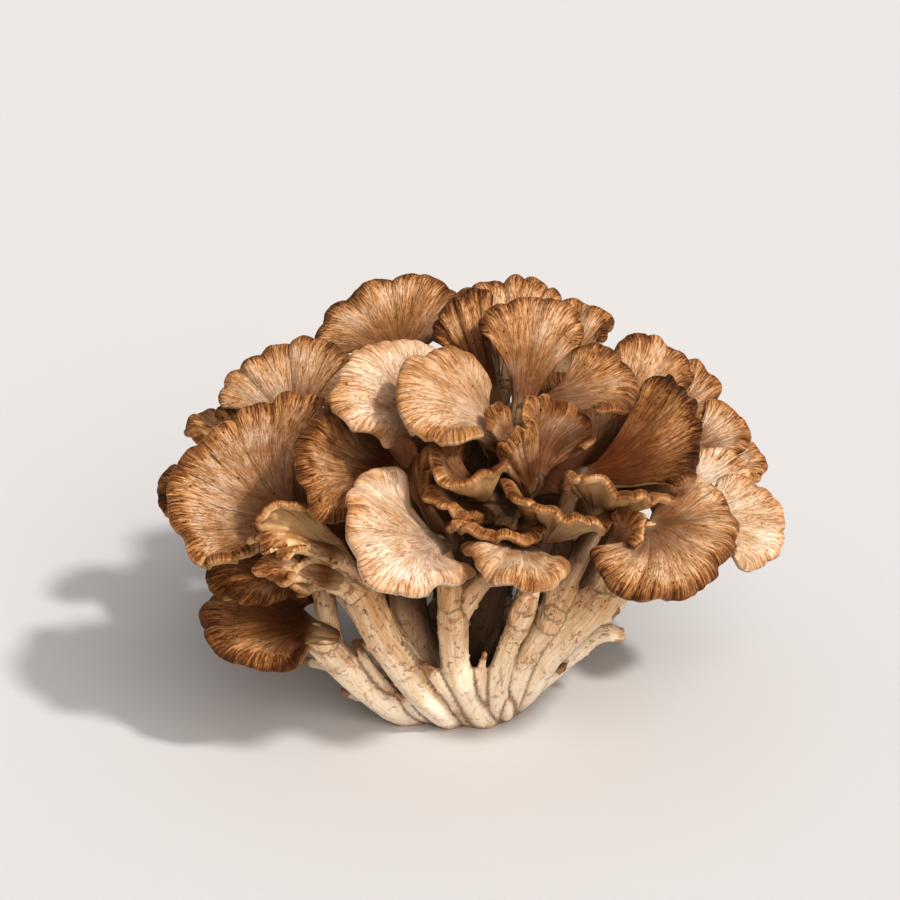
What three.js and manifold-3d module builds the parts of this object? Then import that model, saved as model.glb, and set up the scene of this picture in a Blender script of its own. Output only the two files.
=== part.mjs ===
// Maitake (hen of the woods): a cluster of ruffled fan-shaped fronds on pale branching stalks that
// grow from one cut butt. Millimetres, +Z up. The origin is the middle of the butt's flat cut face,
// which the cluster stands on; +X is the cluster's long way and -Y its open, best-formed side.

import * as THREE from 'three';
import { mergeVertices } from 'three/addons/utils/BufferGeometryUtils.js';
import Module from 'manifold-3d';

const wasm = await Module();
wasm.setup();

// ---- Driving dimensions ---------------------------------------------------------------------
const LIP_THICKNESS = 2.2; // a frond at its rim
const NECK_THICKNESS = 3.4; // a frond where it leaves its twig
const NECK_WIDTH = 5;
const NECK_COLUMNS = [0, 0.5, 1]; // the points across a neck
const NECK_CLEARANCE = 0.7; // between a twig's end and its frond
const TWIG_RADII = [3.9, 3.4, 3.2, 3.2]; // from the fork to the frond
const TWIG_EASE = 0.5; // 0 bends a twig hard at its ends, 1 makes it straight
const TWIG_RUN_BACK = 3.2; // a twig starts this far down inside its stalk
const TWIG_RING_STEP = 13; // the most between two rings of a short twig
const GAP = 0.3; // air between two nodes that would touch
const BUTT_RADIUS = 21;
const BUTT_HEIGHT = 30;
const FOOT_START = 13; // where the lowest fronds' twigs leave the butt
const REAR_STRETCH = [1.08, 0.93]; // the cluster is wider than it is deep

// How a frond is shaped where its own entry says nothing.
const FROND_DEFAULTS = { lobes: 6, belly: 0.1, lip: 0.05, cut: 0.05, wave: 0.03, waves: 3, widen: 0.5 };

// ---- Placing --------------------------------------------------------------------------------
// Each stalk's route from the butt to its fork, and its radius along the way.
const stalks = {
  left_low: {
    path: [[-16, -19, -1], [-24, -26, 8], [-33, -31, 19], [-40, -35, 29]],
    radii: [5.2, 5.2, 5, 4.6],
  },
  left_upper: {
    path: [[-4, -20, -1], [-10, -29, 8], [-16, -36, 20], [-25, -42, 38], [-30, -44, 50]],
    radii: [4.6, 4.8, 5.2, 5.4, 5.4],
  },
  front_main: {
    path: [[4, -21, -1], [-1, -30, 11], [-5, -38, 26], [-6, -44, 45]],
    radii: [4.8, 4.4, 4.2, 4.4],
  },
  front_thin: {
    path: [[7, -19, -1], [6, -30, 13], [8, -37, 26], [14, -41, 46]],
    radii: [3.6, 3.1, 2.9, 3.2],
  },
  front_right: {
    path: [[9, -16, -1], [11, -26, 11], [14, -32, 24], [22, -36, 42]],
    radii: [3.8, 3.3, 3.1, 3.4],
  },
  right_big: {
    path: [[10, -12, -1], [15, -22, 10], [21, -30, 25], [35, -37, 46]],
    radii: [4.6, 4.2, 4.4, 5.4],
  },
  inner_left: {
    path: [[-8, -10, -1], [-13, -24, 20], [-18, -28, 38], [-19, -25, 53]],
    radii: [5, 4.8, 5.2, 5],
  },
  inner_middle: { path: [[0, -6, -1], [2, -21, 26], [5, -24, 44], [8, -14, 64]], radii: [6, 5.2, 5, 5] },
  inner_right: { path: [[6, -2, -1], [22, -8, 26], [36, -6, 47], [39, -4, 60]], radii: [6, 5.4, 5, 4.4] },
  side_left: { path: [[-14, 4, -1], [-32, 5, 22], [-46, 3, 44]], radii: [6, 5.2, 4.4] },
  side_right: { path: [[14, 3, -1], [36, 4, 21], [52, 4, 40]], radii: [6, 5.2, 4.4] },
  rear_left: { path: [[-10, 13, -1], [-24, 27, 21], [-32, 34, 40]], radii: [6, 5.2, 4.4] },
  rear_middle: { path: [[0, 16, -1], [2, 32, 22], [2, 40, 42]], radii: [6, 5.2, 4.4] },
  rear_right: { path: [[11, 13, -1], [27, 27, 21], [36, 34, 40]], radii: [6, 5.2, 4.4] },
  crown: { path: [[0, 4, -1], [0, 9, 34], [0, 12, 58]], radii: [9, 8, 6] },
};

// Short stubs round the foot: broken tips, and small blunt shoots at both sides.
const stubs = [
  { path: [[-4, -24, 2], [-13, -37, 20], [-20, -44, 36]], radii: [3, 2.4, 1] },
  { path: [[0, -25, 2], [-7, -36, 17], [-13, -42, 28]], radii: [3, 2.3, 1.4] },
  { path: [[4, -24, 4], [2, -35, 18], [3, -40, 31]], radii: [2.4, 1.8, 1] },
  { path: [[-14, -18, 2], [-25, -30, 15], [-32, -37, 31]], radii: [3, 2.2, 1.1] },
  { path: [[9, -19, 0], [10, -27, 6], [10, -30, 14]], radii: [3, 2.2, 1] },
  { path: [[-8, -20, 0], [-16, -28, 6], [-21, -32, 14]], radii: [3, 2.2, 1] },
  {
    path: [[10, -10, 0], [18, -15, 8], [27, -17, 17], [37, -17, 25], [43, -16, 24]],
    radii: [4, 3.6, 3.2, 2.8, 2.2],
  },
  { path: [[27, -16, 17], [36, -15, 27], [41, -14, 32]], radii: [2.8, 2.3, 1.8] },
  { path: [[8, -14, 1], [16, -21, 8], [26, -22, 17]], radii: [3.2, 2.6, 1.2] },
  { path: [[-9, -14, 2], [-26, -20, 5], [-38, -18, 7]], radii: [3.6, 2.8, 1.4] },
  { path: [[-10, -8, 4], [-28, -14, 9], [-40, -14, 13], [-49, -13, 14]], radii: [3.6, 2.8, 2.3, 1.6] },
];

// Each frond: the stalk that carries it, the neck where it leaves its twig, and a few points along
// its rim. Facing the brown upper side with the neck below, the rim runs from left to right. Notches
// are its cuts: the share of the way along the rim, and how deep. Lobes alone spaces them by rule.
const fronds = [
  { name: 'left_shell', stem: 'left_upper', neck: [-46, -30, 64], belly: -0.1, lip: 0.04,
    notches: [[0.06, 0.3], [0.11, 0.7], [0.18, 0.8], [0.28, 0.5], [0.4, 0.3], [0.49, 0.5],
      [0.58, 1], [0.7, 0.7], [0.84, 1.8], [0.94, 0.4]],
    rim: [[-58, -54, 73], [-65, -62, 73], [-74, -60, 73], [-80, -50, 80], [-77, -40, 90],
      [-65, -32, 98], [-52, -28, 102], [-40, -24, 101]] },
  { name: 'left_centre', stem: 'inner_left', neck: [-19, -34, 80], belly: -0.12, lip: 0.06,
    notches: [[0.06, 0.4], [0.15, 0.6], [0.2, 1.1], [0.25, 0.4], [0.31, 0.3], [0.37, 0.5],
      [0.44, 0.3], [0.56, 0.4]],
    rim: [[-32, -58, 81], [-40, -62, 84], [-45, -58, 94], [-45, -52, 99], [-41, -44, 103],
      [-37, -36, 105], [-29, -18, 98], [-21, -14, 91]] },
  { name: 'left_pale', stem: 'inner_left', neck: [-13, -22, 87], belly: 0.08, lip: 0.08,
    notches: [[0.09, 0.5], [0.21, 0.6], [0.29, 0.4], [0.36, 0.9], [0.48, 0.5], [0.61, 0.6],
      [0.78, 0.4]],
    rim: [[-21, -42, 95], [-28, -48, 102], [-34, -48, 107], [-34, -40, 113], [-30, -28, 116],
      [-19, -15, 114], [-9, -8, 110]] },
  { name: 'centre_pale', stem: 'inner_middle', neck: [5, -34, 90], belly: 0.14, lip: 0.06,
    notches: [[0.16, 0.6], [0.21, 0.5], [0.27, 1], [0.36, 0.4], [0.43, 0.6], [0.53, 0.5],
      [0.61, 1]],
    rim: [[2, -57, 104], [-5, -62, 105], [-12, -60, 106], [-19, -56, 110], [-19, -46, 116],
      [-14, -38, 118], [-7, -30, 117], [1, -26, 112], [4, -27, 103]] },
  { name: 'tall_fan', stem: 'inner_middle', neck: [13, -20, 94], lobes: 6, belly: 0.02, cut: 0.03,
    widen: 0.8,
    rim: [[3, -8, 113], [3, -4, 118], [10, 0, 121], [20, 0, 122], [28, -3, 120], [30, -6, 116],
      [28, -10, 110]] },
  { name: 'right_lobe', stem: 'inner_middle', neck: [18, -20, 95], belly: 0.08, lip: 0.05,
    notches: [[0.2, 0.5], [0.33, 0.7], [0.46, 0.4], [0.6, 0.8]],
    rim: [[27, -10, 109], [35, -10, 111], [41, -12, 108], [45, -20, 102], [39, -34, 101], [33, -38, 104]] },
  { name: 'back_left', stem: 'crown', neck: [-20, 20, 92], belly: 0.0,
    notches: [[0.18, 0.5], [0.3, 0.8], [0.5, 0.8], [0.6, 0.4], [0.73, 0.6]],
    rim: [[-44, 27, 92], [-47, 34, 97], [-45, 38, 104], [-36, 40, 111], [-26, 42, 114], [-16, 40, 117],
      [-7, 36, 114], [-1, 26, 108], [1, 22, 100]] },
  { name: 'left_back', stem: 'side_left', neck: [-49, -4, 79], belly: 0.0,
    notches: [[0.14, 0.5], [0.26, 0.7], [0.39, 0.6], [0.59, 0.8], [0.72, 0.4]],
    rim: [[-72, 12, 84], [-74, 15, 89], [-66, 17, 97], [-57, 17, 102], [-45, 14, 105], [-34, 6, 102]] },
  { name: 'left_edge_mid', stem: 'side_left', neck: [-61, 8, 73], lobes: 2, belly: 0.0,
    rim: [[-75, 14, 80], [-75, 16, 82], [-71, 17, 84], [-65, 16, 84]] },
  { name: 'left_edge_high', stem: 'side_left', neck: [-66, 12, 69], lobes: 3, belly: 0.05,
    rim: [[-78, 6, 75], [-84, 12, 77], [-83, 22, 78], [-76, 30, 76]] },
  { name: 'left_edge_low', stem: 'side_left', neck: [-68, -18, 61], lobes: 3, belly: 0.0,
    rim: [[-82, -34, 67], [-87, -24, 73], [-86, -16, 76], [-81, -10, 76]] },
  { name: 'back_centre', stem: 'inner_middle', neck: [5, 0, 91], lobes: 3, cut: 0.07, wave: 0.05,
    rim: [[-12, 8, 107], [-10, 12, 113], [-6, 12, 117], [-1, 12, 120], [6, 12, 120]] },
  { name: 'top_back', stem: 'crown', neck: [10, 24, 90], lobes: 5, belly: 0.0,
    rim: [[-7, 40, 108], [-1, 46, 111], [8, 48, 112], [17, 48, 113], [25, 46, 111], [26, 40, 106]] },
  { name: 'back_right_small', stem: 'crown', neck: [26, 18, 93], lobes: 3, belly: 0.0,
    rim: [[26, 32, 110], [30, 34, 110], [37, 29, 109], [41, 26, 107], [37, 20, 103]] },
  { name: 'right_back', stem: 'inner_right', neck: [40, 0, 77], lobes: 5, belly: 0.0,
    rim: [[41, 14, 101], [45, 16, 105], [53, 20, 104], [59, 20, 101], [62, 15, 97], [62, 8, 93]] },
  { name: 'right_dark', stem: 'front_right', neck: [29, -22, 75], belly: -0.08, lip: 0.02,
    notches: [[0.22, 0.7], [0.31, 0.5], [0.41, 1], [0.56, 0.5], [0.73, 0.8], [0.91, 0.4]],
    rim: [[49, -6, 98], [53, -8, 102], [60, -12, 98], [63, -20, 89], [60, -32, 84], [55, -42, 83]] },
  { name: 'right_tongue', stem: 'front_right', neck: [35, -30, 69], lobes: 5, belly: -0.05,
    rim: [[52, -52, 86], [46, -60, 87], [42, -62, 90], [35, -60, 91], [29, -58, 94], [24, -54, 92],
      [23, -48, 86]] },
  { name: 'right_front', stem: 'right_big', neck: [46, -42, 68], belly: 0.1, lip: 0.05, widen: 0.15,
    notches: [[0.22, 0.4], [0.28, 0.5], [0.4, 1.1], [0.55, 1.2], [0.65, 1], [0.73, 1.9],
      [0.82, 2.2], [0.89, 0.5], [0.96, 0.3]],
    rim: [[42, -17, 71], [51, -16, 71], [61, -16, 71], [69, -18, 72], [73, -26, 67], [72, -38, 65],
      [65, -58, 65], [55, -70, 63], [45, -76, 64], [36, -74, 67], [32, -68, 70], [30, -58, 71]] },
  { name: 'right_pale', stem: 'right_big', neck: [58, -16, 60], belly: 0.02,
    notches: [[0.25, 0.4], [0.33, 0.6], [0.43, 0.4], [0.51, 0.5], [0.59, 0.5], [0.71, 0.7],
      [0.82, 0.4]],
    rim: [[70, -4, 68], [77, -6, 70], [84, -9, 67], [89, -12, 61], [89, -15, 56], [86, -20, 51],
      [79, -27, 51], [73, -32, 57]] },
  { name: 'right_pale_up', stem: 'side_right', neck: [62, -8, 66], lobes: 3, belly: 0.02,
    rim: [[65, 2, 75], [72, 2, 75], [78, 0, 72], [80, -4, 68]] },
  { name: 'right_stack_1', stem: 'inner_right', neck: [56, 12, 79], lobes: 3, belly: 0.0,
    rim: [[61, 18, 94], [65, 20, 96], [70, 20, 92], [73, 18, 89], [69, 13, 84], [66, 10, 81]] },
  { name: 'right_stack_2', stem: 'inner_right', neck: [62, 4, 73], lobes: 3, belly: 0.0,
    rim: [[68, 13, 86], [72, 12, 86], [78, 11, 82], [81, 8, 78], [79, 3, 76], [76, 2, 73]] },
  { name: 'right_stack_3', stem: 'side_right', neck: [66, 5, 65], lobes: 3, belly: 0.0,
    rim: [[80, 15, 73], [84, 14, 71], [86, 9, 68], [84, 4, 66], [79, 1, 67]] },
  { name: 'front_pale', stem: 'front_main', neck: [-10, -48, 67], belly: 0.08, lip: 0.05,
    notches: [[0.15, 0.4], [0.25, 0.7], [0.34, 0.6], [0.41, 0.6], [0.57, 1.2], [0.65, 0.7],
      [0.74, 0.4], [0.83, 0.3], [0.9, 0.4]],
    rim: [[1, -62, 67], [-5, -72, 70], [-16, -82, 70], [-24, -82, 73], [-29, -80, 79], [-33, -74, 83],
      [-32, -68, 89], [-29, -56, 91], [-23, -48, 90], [-20, -42, 84]] },
  { name: 'front_low', stem: 'front_main', neck: [10, -44, 64], belly: 0.08, lip: 0.04,
    notches: [[0.11, 0.3], [0.28, 0.7], [0.41, 0.4], [0.53, 0.3], [0.64, 0.5], [0.77, 0.3]],
    rim: [[22, -56, 68], [24, -66, 69], [19, -77, 71], [13, -83, 72], [6, -80, 74], [0, -70, 75],
      [-3, -58, 73]] },
  { name: 'front_mid', stem: 'inner_middle', neck: [7, -35, 65], lobes: 6, belly: -0.05,
    rim: [[19, -50, 74], [14, -60, 76], [6, -66, 79], [-1, -64, 81], [-7, -57, 79], [-8, -50, 74]] },
  { name: 'wavy_rim', stem: 'front_thin', neck: [20, -30, 63], lobes: 6, belly: -0.05,
    rim: [[38, -46, 77], [32, -57, 79], [24, -63, 85], [18, -63, 86], [14, -60, 87], [11, -54, 88],
      [7, -48, 88]] },
  { name: 'cup', stem: 'inner_middle', neck: [3, -36, 78], lobes: 6, belly: -0.08,
    rim: [[7, -50, 93], [2, -58, 94], [-4, -62, 93], [-10, -60, 95], [-11, -54, 97], [-8, -44, 96],
      [-2, -36, 93]] },
  { name: 'cup_low', stem: 'inner_middle', neck: [3, -38, 72], lobes: 4, belly: -0.05,
    rim: [[2, -54, 77], [-3, -59, 82], [-8, -60, 85], [-12, -57, 88], [-11, -47, 85]] },
  { name: 'fork_left', stem: 'inner_middle', neck: [14, -32, 78], lobes: 4, belly: 0.0,
    rim: [[7, -46, 89], [8, -50, 96], [12, -50, 100], [15, -46, 99], [17, -40, 102]] },
  { name: 'fork_right', stem: 'inner_middle', neck: [16, -30, 78], lobes: 5, belly: -0.08,
    rim: [[15, -42, 98], [15, -40, 104], [17, -36, 106], [23, -31, 102], [29, -27, 98], [33, -25, 91],
      [30, -32, 89]] },
  { name: 'small_blade', stem: 'inner_middle', neck: [9, -40, 93], lobes: 2, belly: 0.0,
    rim: [[3, -46, 100], [3, -46, 105], [6, -45, 107], [8, -41, 103]] },
  { name: 'upright_blade', stem: 'front_main', neck: [-7, -38, 63], lobes: 4, belly: 0.05,
    rim: [[-20, -33, 79], [-17, -40, 89], [-14, -47, 94], [-14, -51, 90], [-13, -51, 80]] },
  { name: 'inner_curl', stem: 'right_big', neck: [39, -42, 66], lobes: 3, belly: 0.05,
    rim: [[36, -52, 78], [39, -55, 80], [43, -58, 79], [43, -59, 76], [41, -61, 73]] },
  { name: 'left_fold', stem: 'left_upper', neck: [-38, -45, 65], lobes: 3, belly: 0.08, lip: 0.03,
    widen: 0.8, rim: [[-40, -50, 78], [-46, -56, 83], [-51, -60, 85], [-56, -63, 84],
      [-57, -64, 81], [-56, -63, 77]] },
  { name: 'left_fold_low', stem: 'left_upper', neck: [-38, -48, 64], lobes: 3, belly: 0.06, wave: 0.05,
    rim: [[-46, -63, 74], [-48, -66, 74], [-51, -68, 76], [-53, -69, 78], [-56, -68, 79],
      [-57, -66, 80]] },
  { name: 'left_curl', stem: 'left_upper', neck: [-35, -46, 55], lobes: 4, belly: 0.06, cut: 0.08,
    widen: 0.7, rim: [[-37, -50, 64], [-41, -54, 68], [-45, -58, 69], [-48, -61, 67],
      [-49, -62, 65], [-48, -61, 60], [-45, -56, 58]] },
  { name: 'left_dark', stem: 'left_low', neck: [-45, -28, 52], belly: 0.02,
    notches: [[0.18, 0.6], [0.33, 1.2], [0.42, 0.6], [0.52, 0.5], [0.62, 1]],
    rim: [[-51, -44, 50], [-57, -50, 52], [-64, -53, 54], [-70, -51, 57], [-72, -44, 61],
      [-70, -38, 62], [-63, -30, 61]] },
  { name: 'bottom_left', stem: 'left_low', neck: [-43, -38, 36], belly: 0.05, cut: 0.08,
    widen: 0.36,
    notches: [[0.09, 0.3], [0.17, 0.3], [0.23, 1.9], [0.29, 0.4], [0.37, 0.5], [0.45, 0.4],
      [0.56, 0.3], [0.68, 0.5]],
    rim: [[-45, -50, 39], [-51, -58, 36], [-58, -60, 37], [-66, -58, 38], [-72, -52, 42],
      [-75, -42, 45], [-71, -32, 46], [-58, -22, 42], [-42, -23, 40]] },
  { name: 'heart_left', stem: 'crown', neck: [-14, 0, 66], lobes: 2, belly: 0.0, widen: 0.3,
    rim: [[-40, -8, 76], [-38, -4, 87], [-34, 0, 94], [-24, 4, 98], [-10, 5, 97], [3, 5, 90]] },
  { name: 'heart_right', stem: 'inner_right', neck: [31, -5, 62], lobes: 2, belly: 0.0, widen: 0.25,
    rim: [[11, -6, 60], [9, -4, 74], [10, 0, 90], [18, 3, 97], [30, 2, 98], [40, -3, 93],
      [45, -7, 86]] },
  { name: 'heart_side', stem: 'inner_right', neck: [45, -12, 64], lobes: 2, belly: 0.0,
    rim: [[43, -5, 80], [51, -3, 82], [59, -7, 81], [62, -13, 77]] },
  { name: 'heart_low', stem: 'crown', neck: [-6, -6, 52], lobes: 2, belly: 0.0,
    rim: [[-26, -12, 62], [-21, -9, 72], [-10, -8, 77], [0, -8, 75]] },
  { name: 'heart_far_left', stem: 'side_left', neck: [-39, -10, 48], lobes: 2, belly: 0.0, widen: 0.3,
    rim: [[-58, -16, 66], [-57, -14, 80], [-48, -11, 91], [-35, -11, 91], [-26, -14, 80]] },
  { name: 'left_curl_leaf', stem: 'left_upper', neck: [-38, -50, 58], lobes: 3, belly: 0.05, wave: 0.05,
    rim: [[-48, -62, 66], [-51, -66, 67], [-54, -67, 68], [-56, -66, 70], [-54, -62, 72],
      [-50, -59, 71]] },
];

// The tiers that fill the far side, by rule: bearing, rim radius and rim height of each frond. Tilt
// lifts one side of a frond, so that it laps over its neighbour, and droop lets both sides hang.
const rearTiers = [
  {
    name: 'rear_high', neckRadius: 28, neckHeight: 82, halfAngle: 24, tilt: 2, droop: 8, belly: 0.13,
    lip: 0.08, places: [[46, 58, 79], [76, 66, 86], [107, 60, 77], [138, 65, 84]],
  },
  {
    name: 'rear_middle', neckRadius: 45, neckHeight: 59, halfAngle: 19, tilt: 3, droop: 9, belly: 0.15,
    lip: 0.1,
    places: [[23, 80, 60], [50, 85, 51], [77, 80, 62], [104, 86, 52], [131, 80, 61], [159, 84, 52]],
  },
  {
    name: 'rear_low', neckRadius: 38, neckHeight: 31, halfAngle: 25, tilt: -3, droop: 8, belly: 0.16,
    lip: 0.1, places: [[31, 67, 36], [68, 76, 37], [110, 73, 40], [154, 73, 34]],
  },
];
// Which stalk a rear frond grows from, by the bearing it stays under.
const rearStalks = [[27, 'side_right'], [75, 'rear_right'], [108, 'rear_middle'], [152, 'rear_left'],
  [180, 'side_left']];

function rearFronds() {
  return rearTiers.flatMap((tier) => tier.places.map(([bearing, radius, height], k) => {
    const along = (turn) => THREE.MathUtils.degToRad(bearing + turn);
    const rim = [-1, -0.5, 0, 0.5, 1].map((share) => {
      const angle = along(-share * tier.halfAngle);
      const reach = radius * (1 - 0.1 * share * share);
      return [
        reach * REAR_STRETCH[0] * Math.cos(angle),
        reach * REAR_STRETCH[1] * Math.sin(angle),
        height + tier.tilt * share - tier.droop * share * share,
      ];
    });
    const neck = [
      tier.neckRadius * Math.cos(along(0)),
      tier.neckRadius * Math.sin(along(0)),
      tier.neckHeight,
    ];
    const foot = [FOOT_START, FOOT_START + 4].map((r, i) => [
      r * Math.cos(along(0)),
      r * Math.sin(along(0)),
      6 + 2 * i,
    ]);
    const stems = {
      rear_high: 'crown',
      rear_middle: rearStalks.find(([limit]) => bearing < limit)[1],
    };
    const { belly, lip } = tier;
    return { name: `${tier.name}_${k + 1}`, stem: stems[tier.name], foot, neck, rim, belly, lip, lobes: 4 };
  }));
}

// ---- Helpers --------------------------------------------------------------------------------
const vec = (p) => new THREE.Vector3(...p);

// The same number, 0 to 1, each time for the same n and seed.
function chance(n, seed) {
  const wild = Math.sin(n * 12.9898 + seed * 78.233) * 43758.5453;
  return wild - Math.floor(wild);
}

function toManifold(points, triangles) {
  const vertProperties = new Float32Array(points.flatMap((p) => [p.x, p.y, p.z]));
  const triVerts = new Uint32Array(triangles);
  return new wasm.Manifold(new wasm.Mesh({ numProp: 3, vertProperties, triVerts }));
}

// The largest separate body of a solid, without loose scraps or the skins of sealed hollows.
function largestBody(solid) {
  const parts = solid.decompose();
  return parts.reduce((best, part) => (part.volume() > best.volume() ? part : best), parts[0]);
}

// A solid from a closed three.js geometry.
function fromGeometry(geometry) {
  geometry.deleteAttribute('normal');
  geometry.deleteAttribute('uv');
  const merged = mergeVertices(geometry, 1e-3);
  const position = merged.getAttribute('position');
  const index = Array.from(merged.getIndex().array);
  const triangles = [];
  for (let i = 0; i < index.length; i += 3) {
    const [a, b, c] = index.slice(i, i + 3);
    if (a !== b && b !== c && c !== a) triangles.push(a, b, c);
  }
  const points = [];
  for (let i = 0; i < position.count; i += 1) {
    points.push(new THREE.Vector3().fromBufferAttribute(position, i));
  }
  return toManifold(points, triangles);
}

function toGeometry(solid) {
  const mesh = solid.getMesh();
  const geometry = new THREE.BufferGeometry();
  const stride = mesh.numProp;
  const positions = new Float32Array((mesh.vertProperties.length / stride) * 3);
  for (let i = 0; i < positions.length / 3; i += 1) {
    positions.set(mesh.vertProperties.subarray(i * stride, i * stride + 3), i * 3);
  }
  geometry.setAttribute('position', new THREE.BufferAttribute(positions, 3));
  geometry.setIndex(new THREE.BufferAttribute(new Uint32Array(mesh.triVerts), 1));
  geometry.computeVertexNormals();
  return geometry;
}

// ---- Fronds ---------------------------------------------------------------------------------
// Share of the way along the rim at which lobe k starts, moved from an even spacing.
function lobeBorder(k, frond) {
  if (k <= 0) return 0;
  if (k >= frond.lobes) return 1;
  if (frond.notches) return frond.notches[k - 1][0];
  return (k + 0.7 * (chance(k, frond.seed) - 0.5)) / frond.lobes;
}

// How deep the notch at the start of lobe k is: most are slight, a few deep.
function notchDepth(k, frond) {
  if (frond.notches) return k > 0 && k < frond.lobes ? frond.notches[k - 1][1] : 0.4;
  return 0.3 + 1.1 * chance(k + 20, frond.seed) ** 2;
}

// How far a point of the rim stands out in its lobe: 0 at a notch, 1 at the crown.
function lobeAt(t, frond) {
  let k = 0;
  while (k < frond.lobes - 1 && t > lobeBorder(k + 1, frond)) k += 1;
  const start = lobeBorder(k, frond);
  const share = THREE.MathUtils.clamp((t - start) / (lobeBorder(k + 1, frond) - start), 0, 1);
  return {
    bump: Math.sin(Math.PI * share) ** 0.6,
    depth: THREE.MathUtils.lerp(notchDepth(k, frond), notchDepth(k + 1, frond), share),
    reach: chance(k + 40, frond.seed) - 0.5,
  };
}

// A point of the smooth curve through the rim points, t running 0 to 1 by distance.
function rimPoint(t, frond) {
  const { rimPoints: p, rimShares: at } = frond;
  let i = 0;
  while (i < p.length - 2 && t > at[i + 1]) i += 1;
  const step = at[i + 1] - at[i];
  const slope = (a, b) => p[b].clone().sub(p[a]).multiplyScalar(step / (at[b] - at[a]));
  const m1 = i > 0 ? slope(i - 1, i + 1) : slope(i, i + 1);
  const m2 = i + 2 < p.length ? slope(i, i + 2) : slope(i, i + 1);
  const u = (t - at[i]) / step;
  return p[i].clone().multiplyScalar(2 * u ** 3 - 3 * u ** 2 + 1)
    .addScaledVector(m1, u ** 3 - 2 * u ** 2 + u)
    .addScaledVector(p[i + 1], -2 * u ** 3 + 3 * u ** 2)
    .addScaledVector(m2, u ** 3 - u ** 2);
}

function prepareFrond(entry, index) {
  const frond = { ...FROND_DEFAULTS, ...entry, seed: index + 1 };
  if (frond.notches) frond.lobes = frond.notches.length + 1;
  frond.neckPoint = vec(frond.neck);
  frond.rimPoints = frond.rim.map(vec);
  const lengths = frond.rimPoints.slice(1).map((p, i) => p.distanceTo(frond.rimPoints[i]));
  const whole = lengths.reduce((a, b) => a + b, 0);
  let run = 0;
  frond.rimShares = [0, ...lengths.map((length) => (run += length) / whole)];
  const outward = rimPoint(0.5, frond).sub(frond.neckPoint).normalize();
  const across = rimPoint(1, frond).sub(rimPoint(0, frond));
  frond.outward = outward;
  frond.across = across.addScaledVector(outward, -across.dot(outward)).normalize();
  return frond;
}

// The bare fan from the neck (s = 0) to the rim (s = 1), t running 0 to 1 across it.
function fanPoint(s, t, frond) {
  const spreadT = 0.5 + (t - 0.5) * s ** frond.widen;
  const ray = rimPoint(spreadT, frond).sub(frond.neckPoint);
  return frond.neckPoint.clone()
    .addScaledVector(ray, s)
    .addScaledVector(frond.across, NECK_WIDTH * (t - 0.5) * (1 - s));
}

function fanNormal(s, t, frond) {
  const h = 0.02;
  const s0 = Math.max(s, 0.1);
  const across = fanPoint(s0, Math.min(1, t + h), frond).sub(fanPoint(s0, Math.max(0, t - h), frond));
  const outward = fanPoint(Math.min(1, s0 + h), t, frond).sub(fanPoint(s0 - h, t, frond));
  return across.cross(outward).normalize();
}

// The frond's mid-surface: the fan with its lobes cut, bellied, creased, waved and curled at the lip.
function frondPoint(s, t, frond) {
  const { bump, depth, reach } = lobeAt(t, frond);
  const radius = rimPoint(0.5 + (t - 0.5) * s ** frond.widen, frond).distanceTo(frond.neckPoint);
  const shorten = frond.cut * (0.5 * reach * bump - 1.6 * (1 - bump) * depth) * s * s;
  const point = fanPoint(s, t, frond);
  point.addScaledVector(point.clone().sub(frond.neckPoint), shorten);
  const edge = 1 - Math.abs(2 * t - 1) ** 3;
  const turn = Math.PI * t * frond.waves;
  const ruffle = Math.sin(2 * turn + frond.seed * 1.7) + 0.4 * Math.sin(4.7 * turn + frond.seed * 3.1);
  const lift = frond.belly * Math.sin(Math.PI * s) * (0.45 + 0.55 * edge)
    + frond.wave * s * s * ruffle
    + frond.cut * 0.9 * s ** 1.5 * (bump - 0.65) * depth
    - frond.lip * Math.max(0, (s - 0.75) / 0.25) ** 2;
  return point.addScaledVector(fanNormal(s, t, frond), radius * lift);
}

// The way the nearest edge faces, away from the frond within its own surface; zero inside it.
function edgeDirection(s, t, frond) {
  const point = fanPoint(s, t, frond);
  const ray = point.clone().sub(fanPoint(Math.max(0, s - 0.1), t, frond)).normalize();
  const away = s === 1 ? ray.clone() : new THREE.Vector3();
  if (t === 0 || t === 1) {
    const side = point.sub(fanPoint(s, t === 0 ? 0.06 : 0.94, frond));
    away.add(side.addScaledVector(ray, -side.dot(ray)).normalize());
  }
  return away;
}

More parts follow.
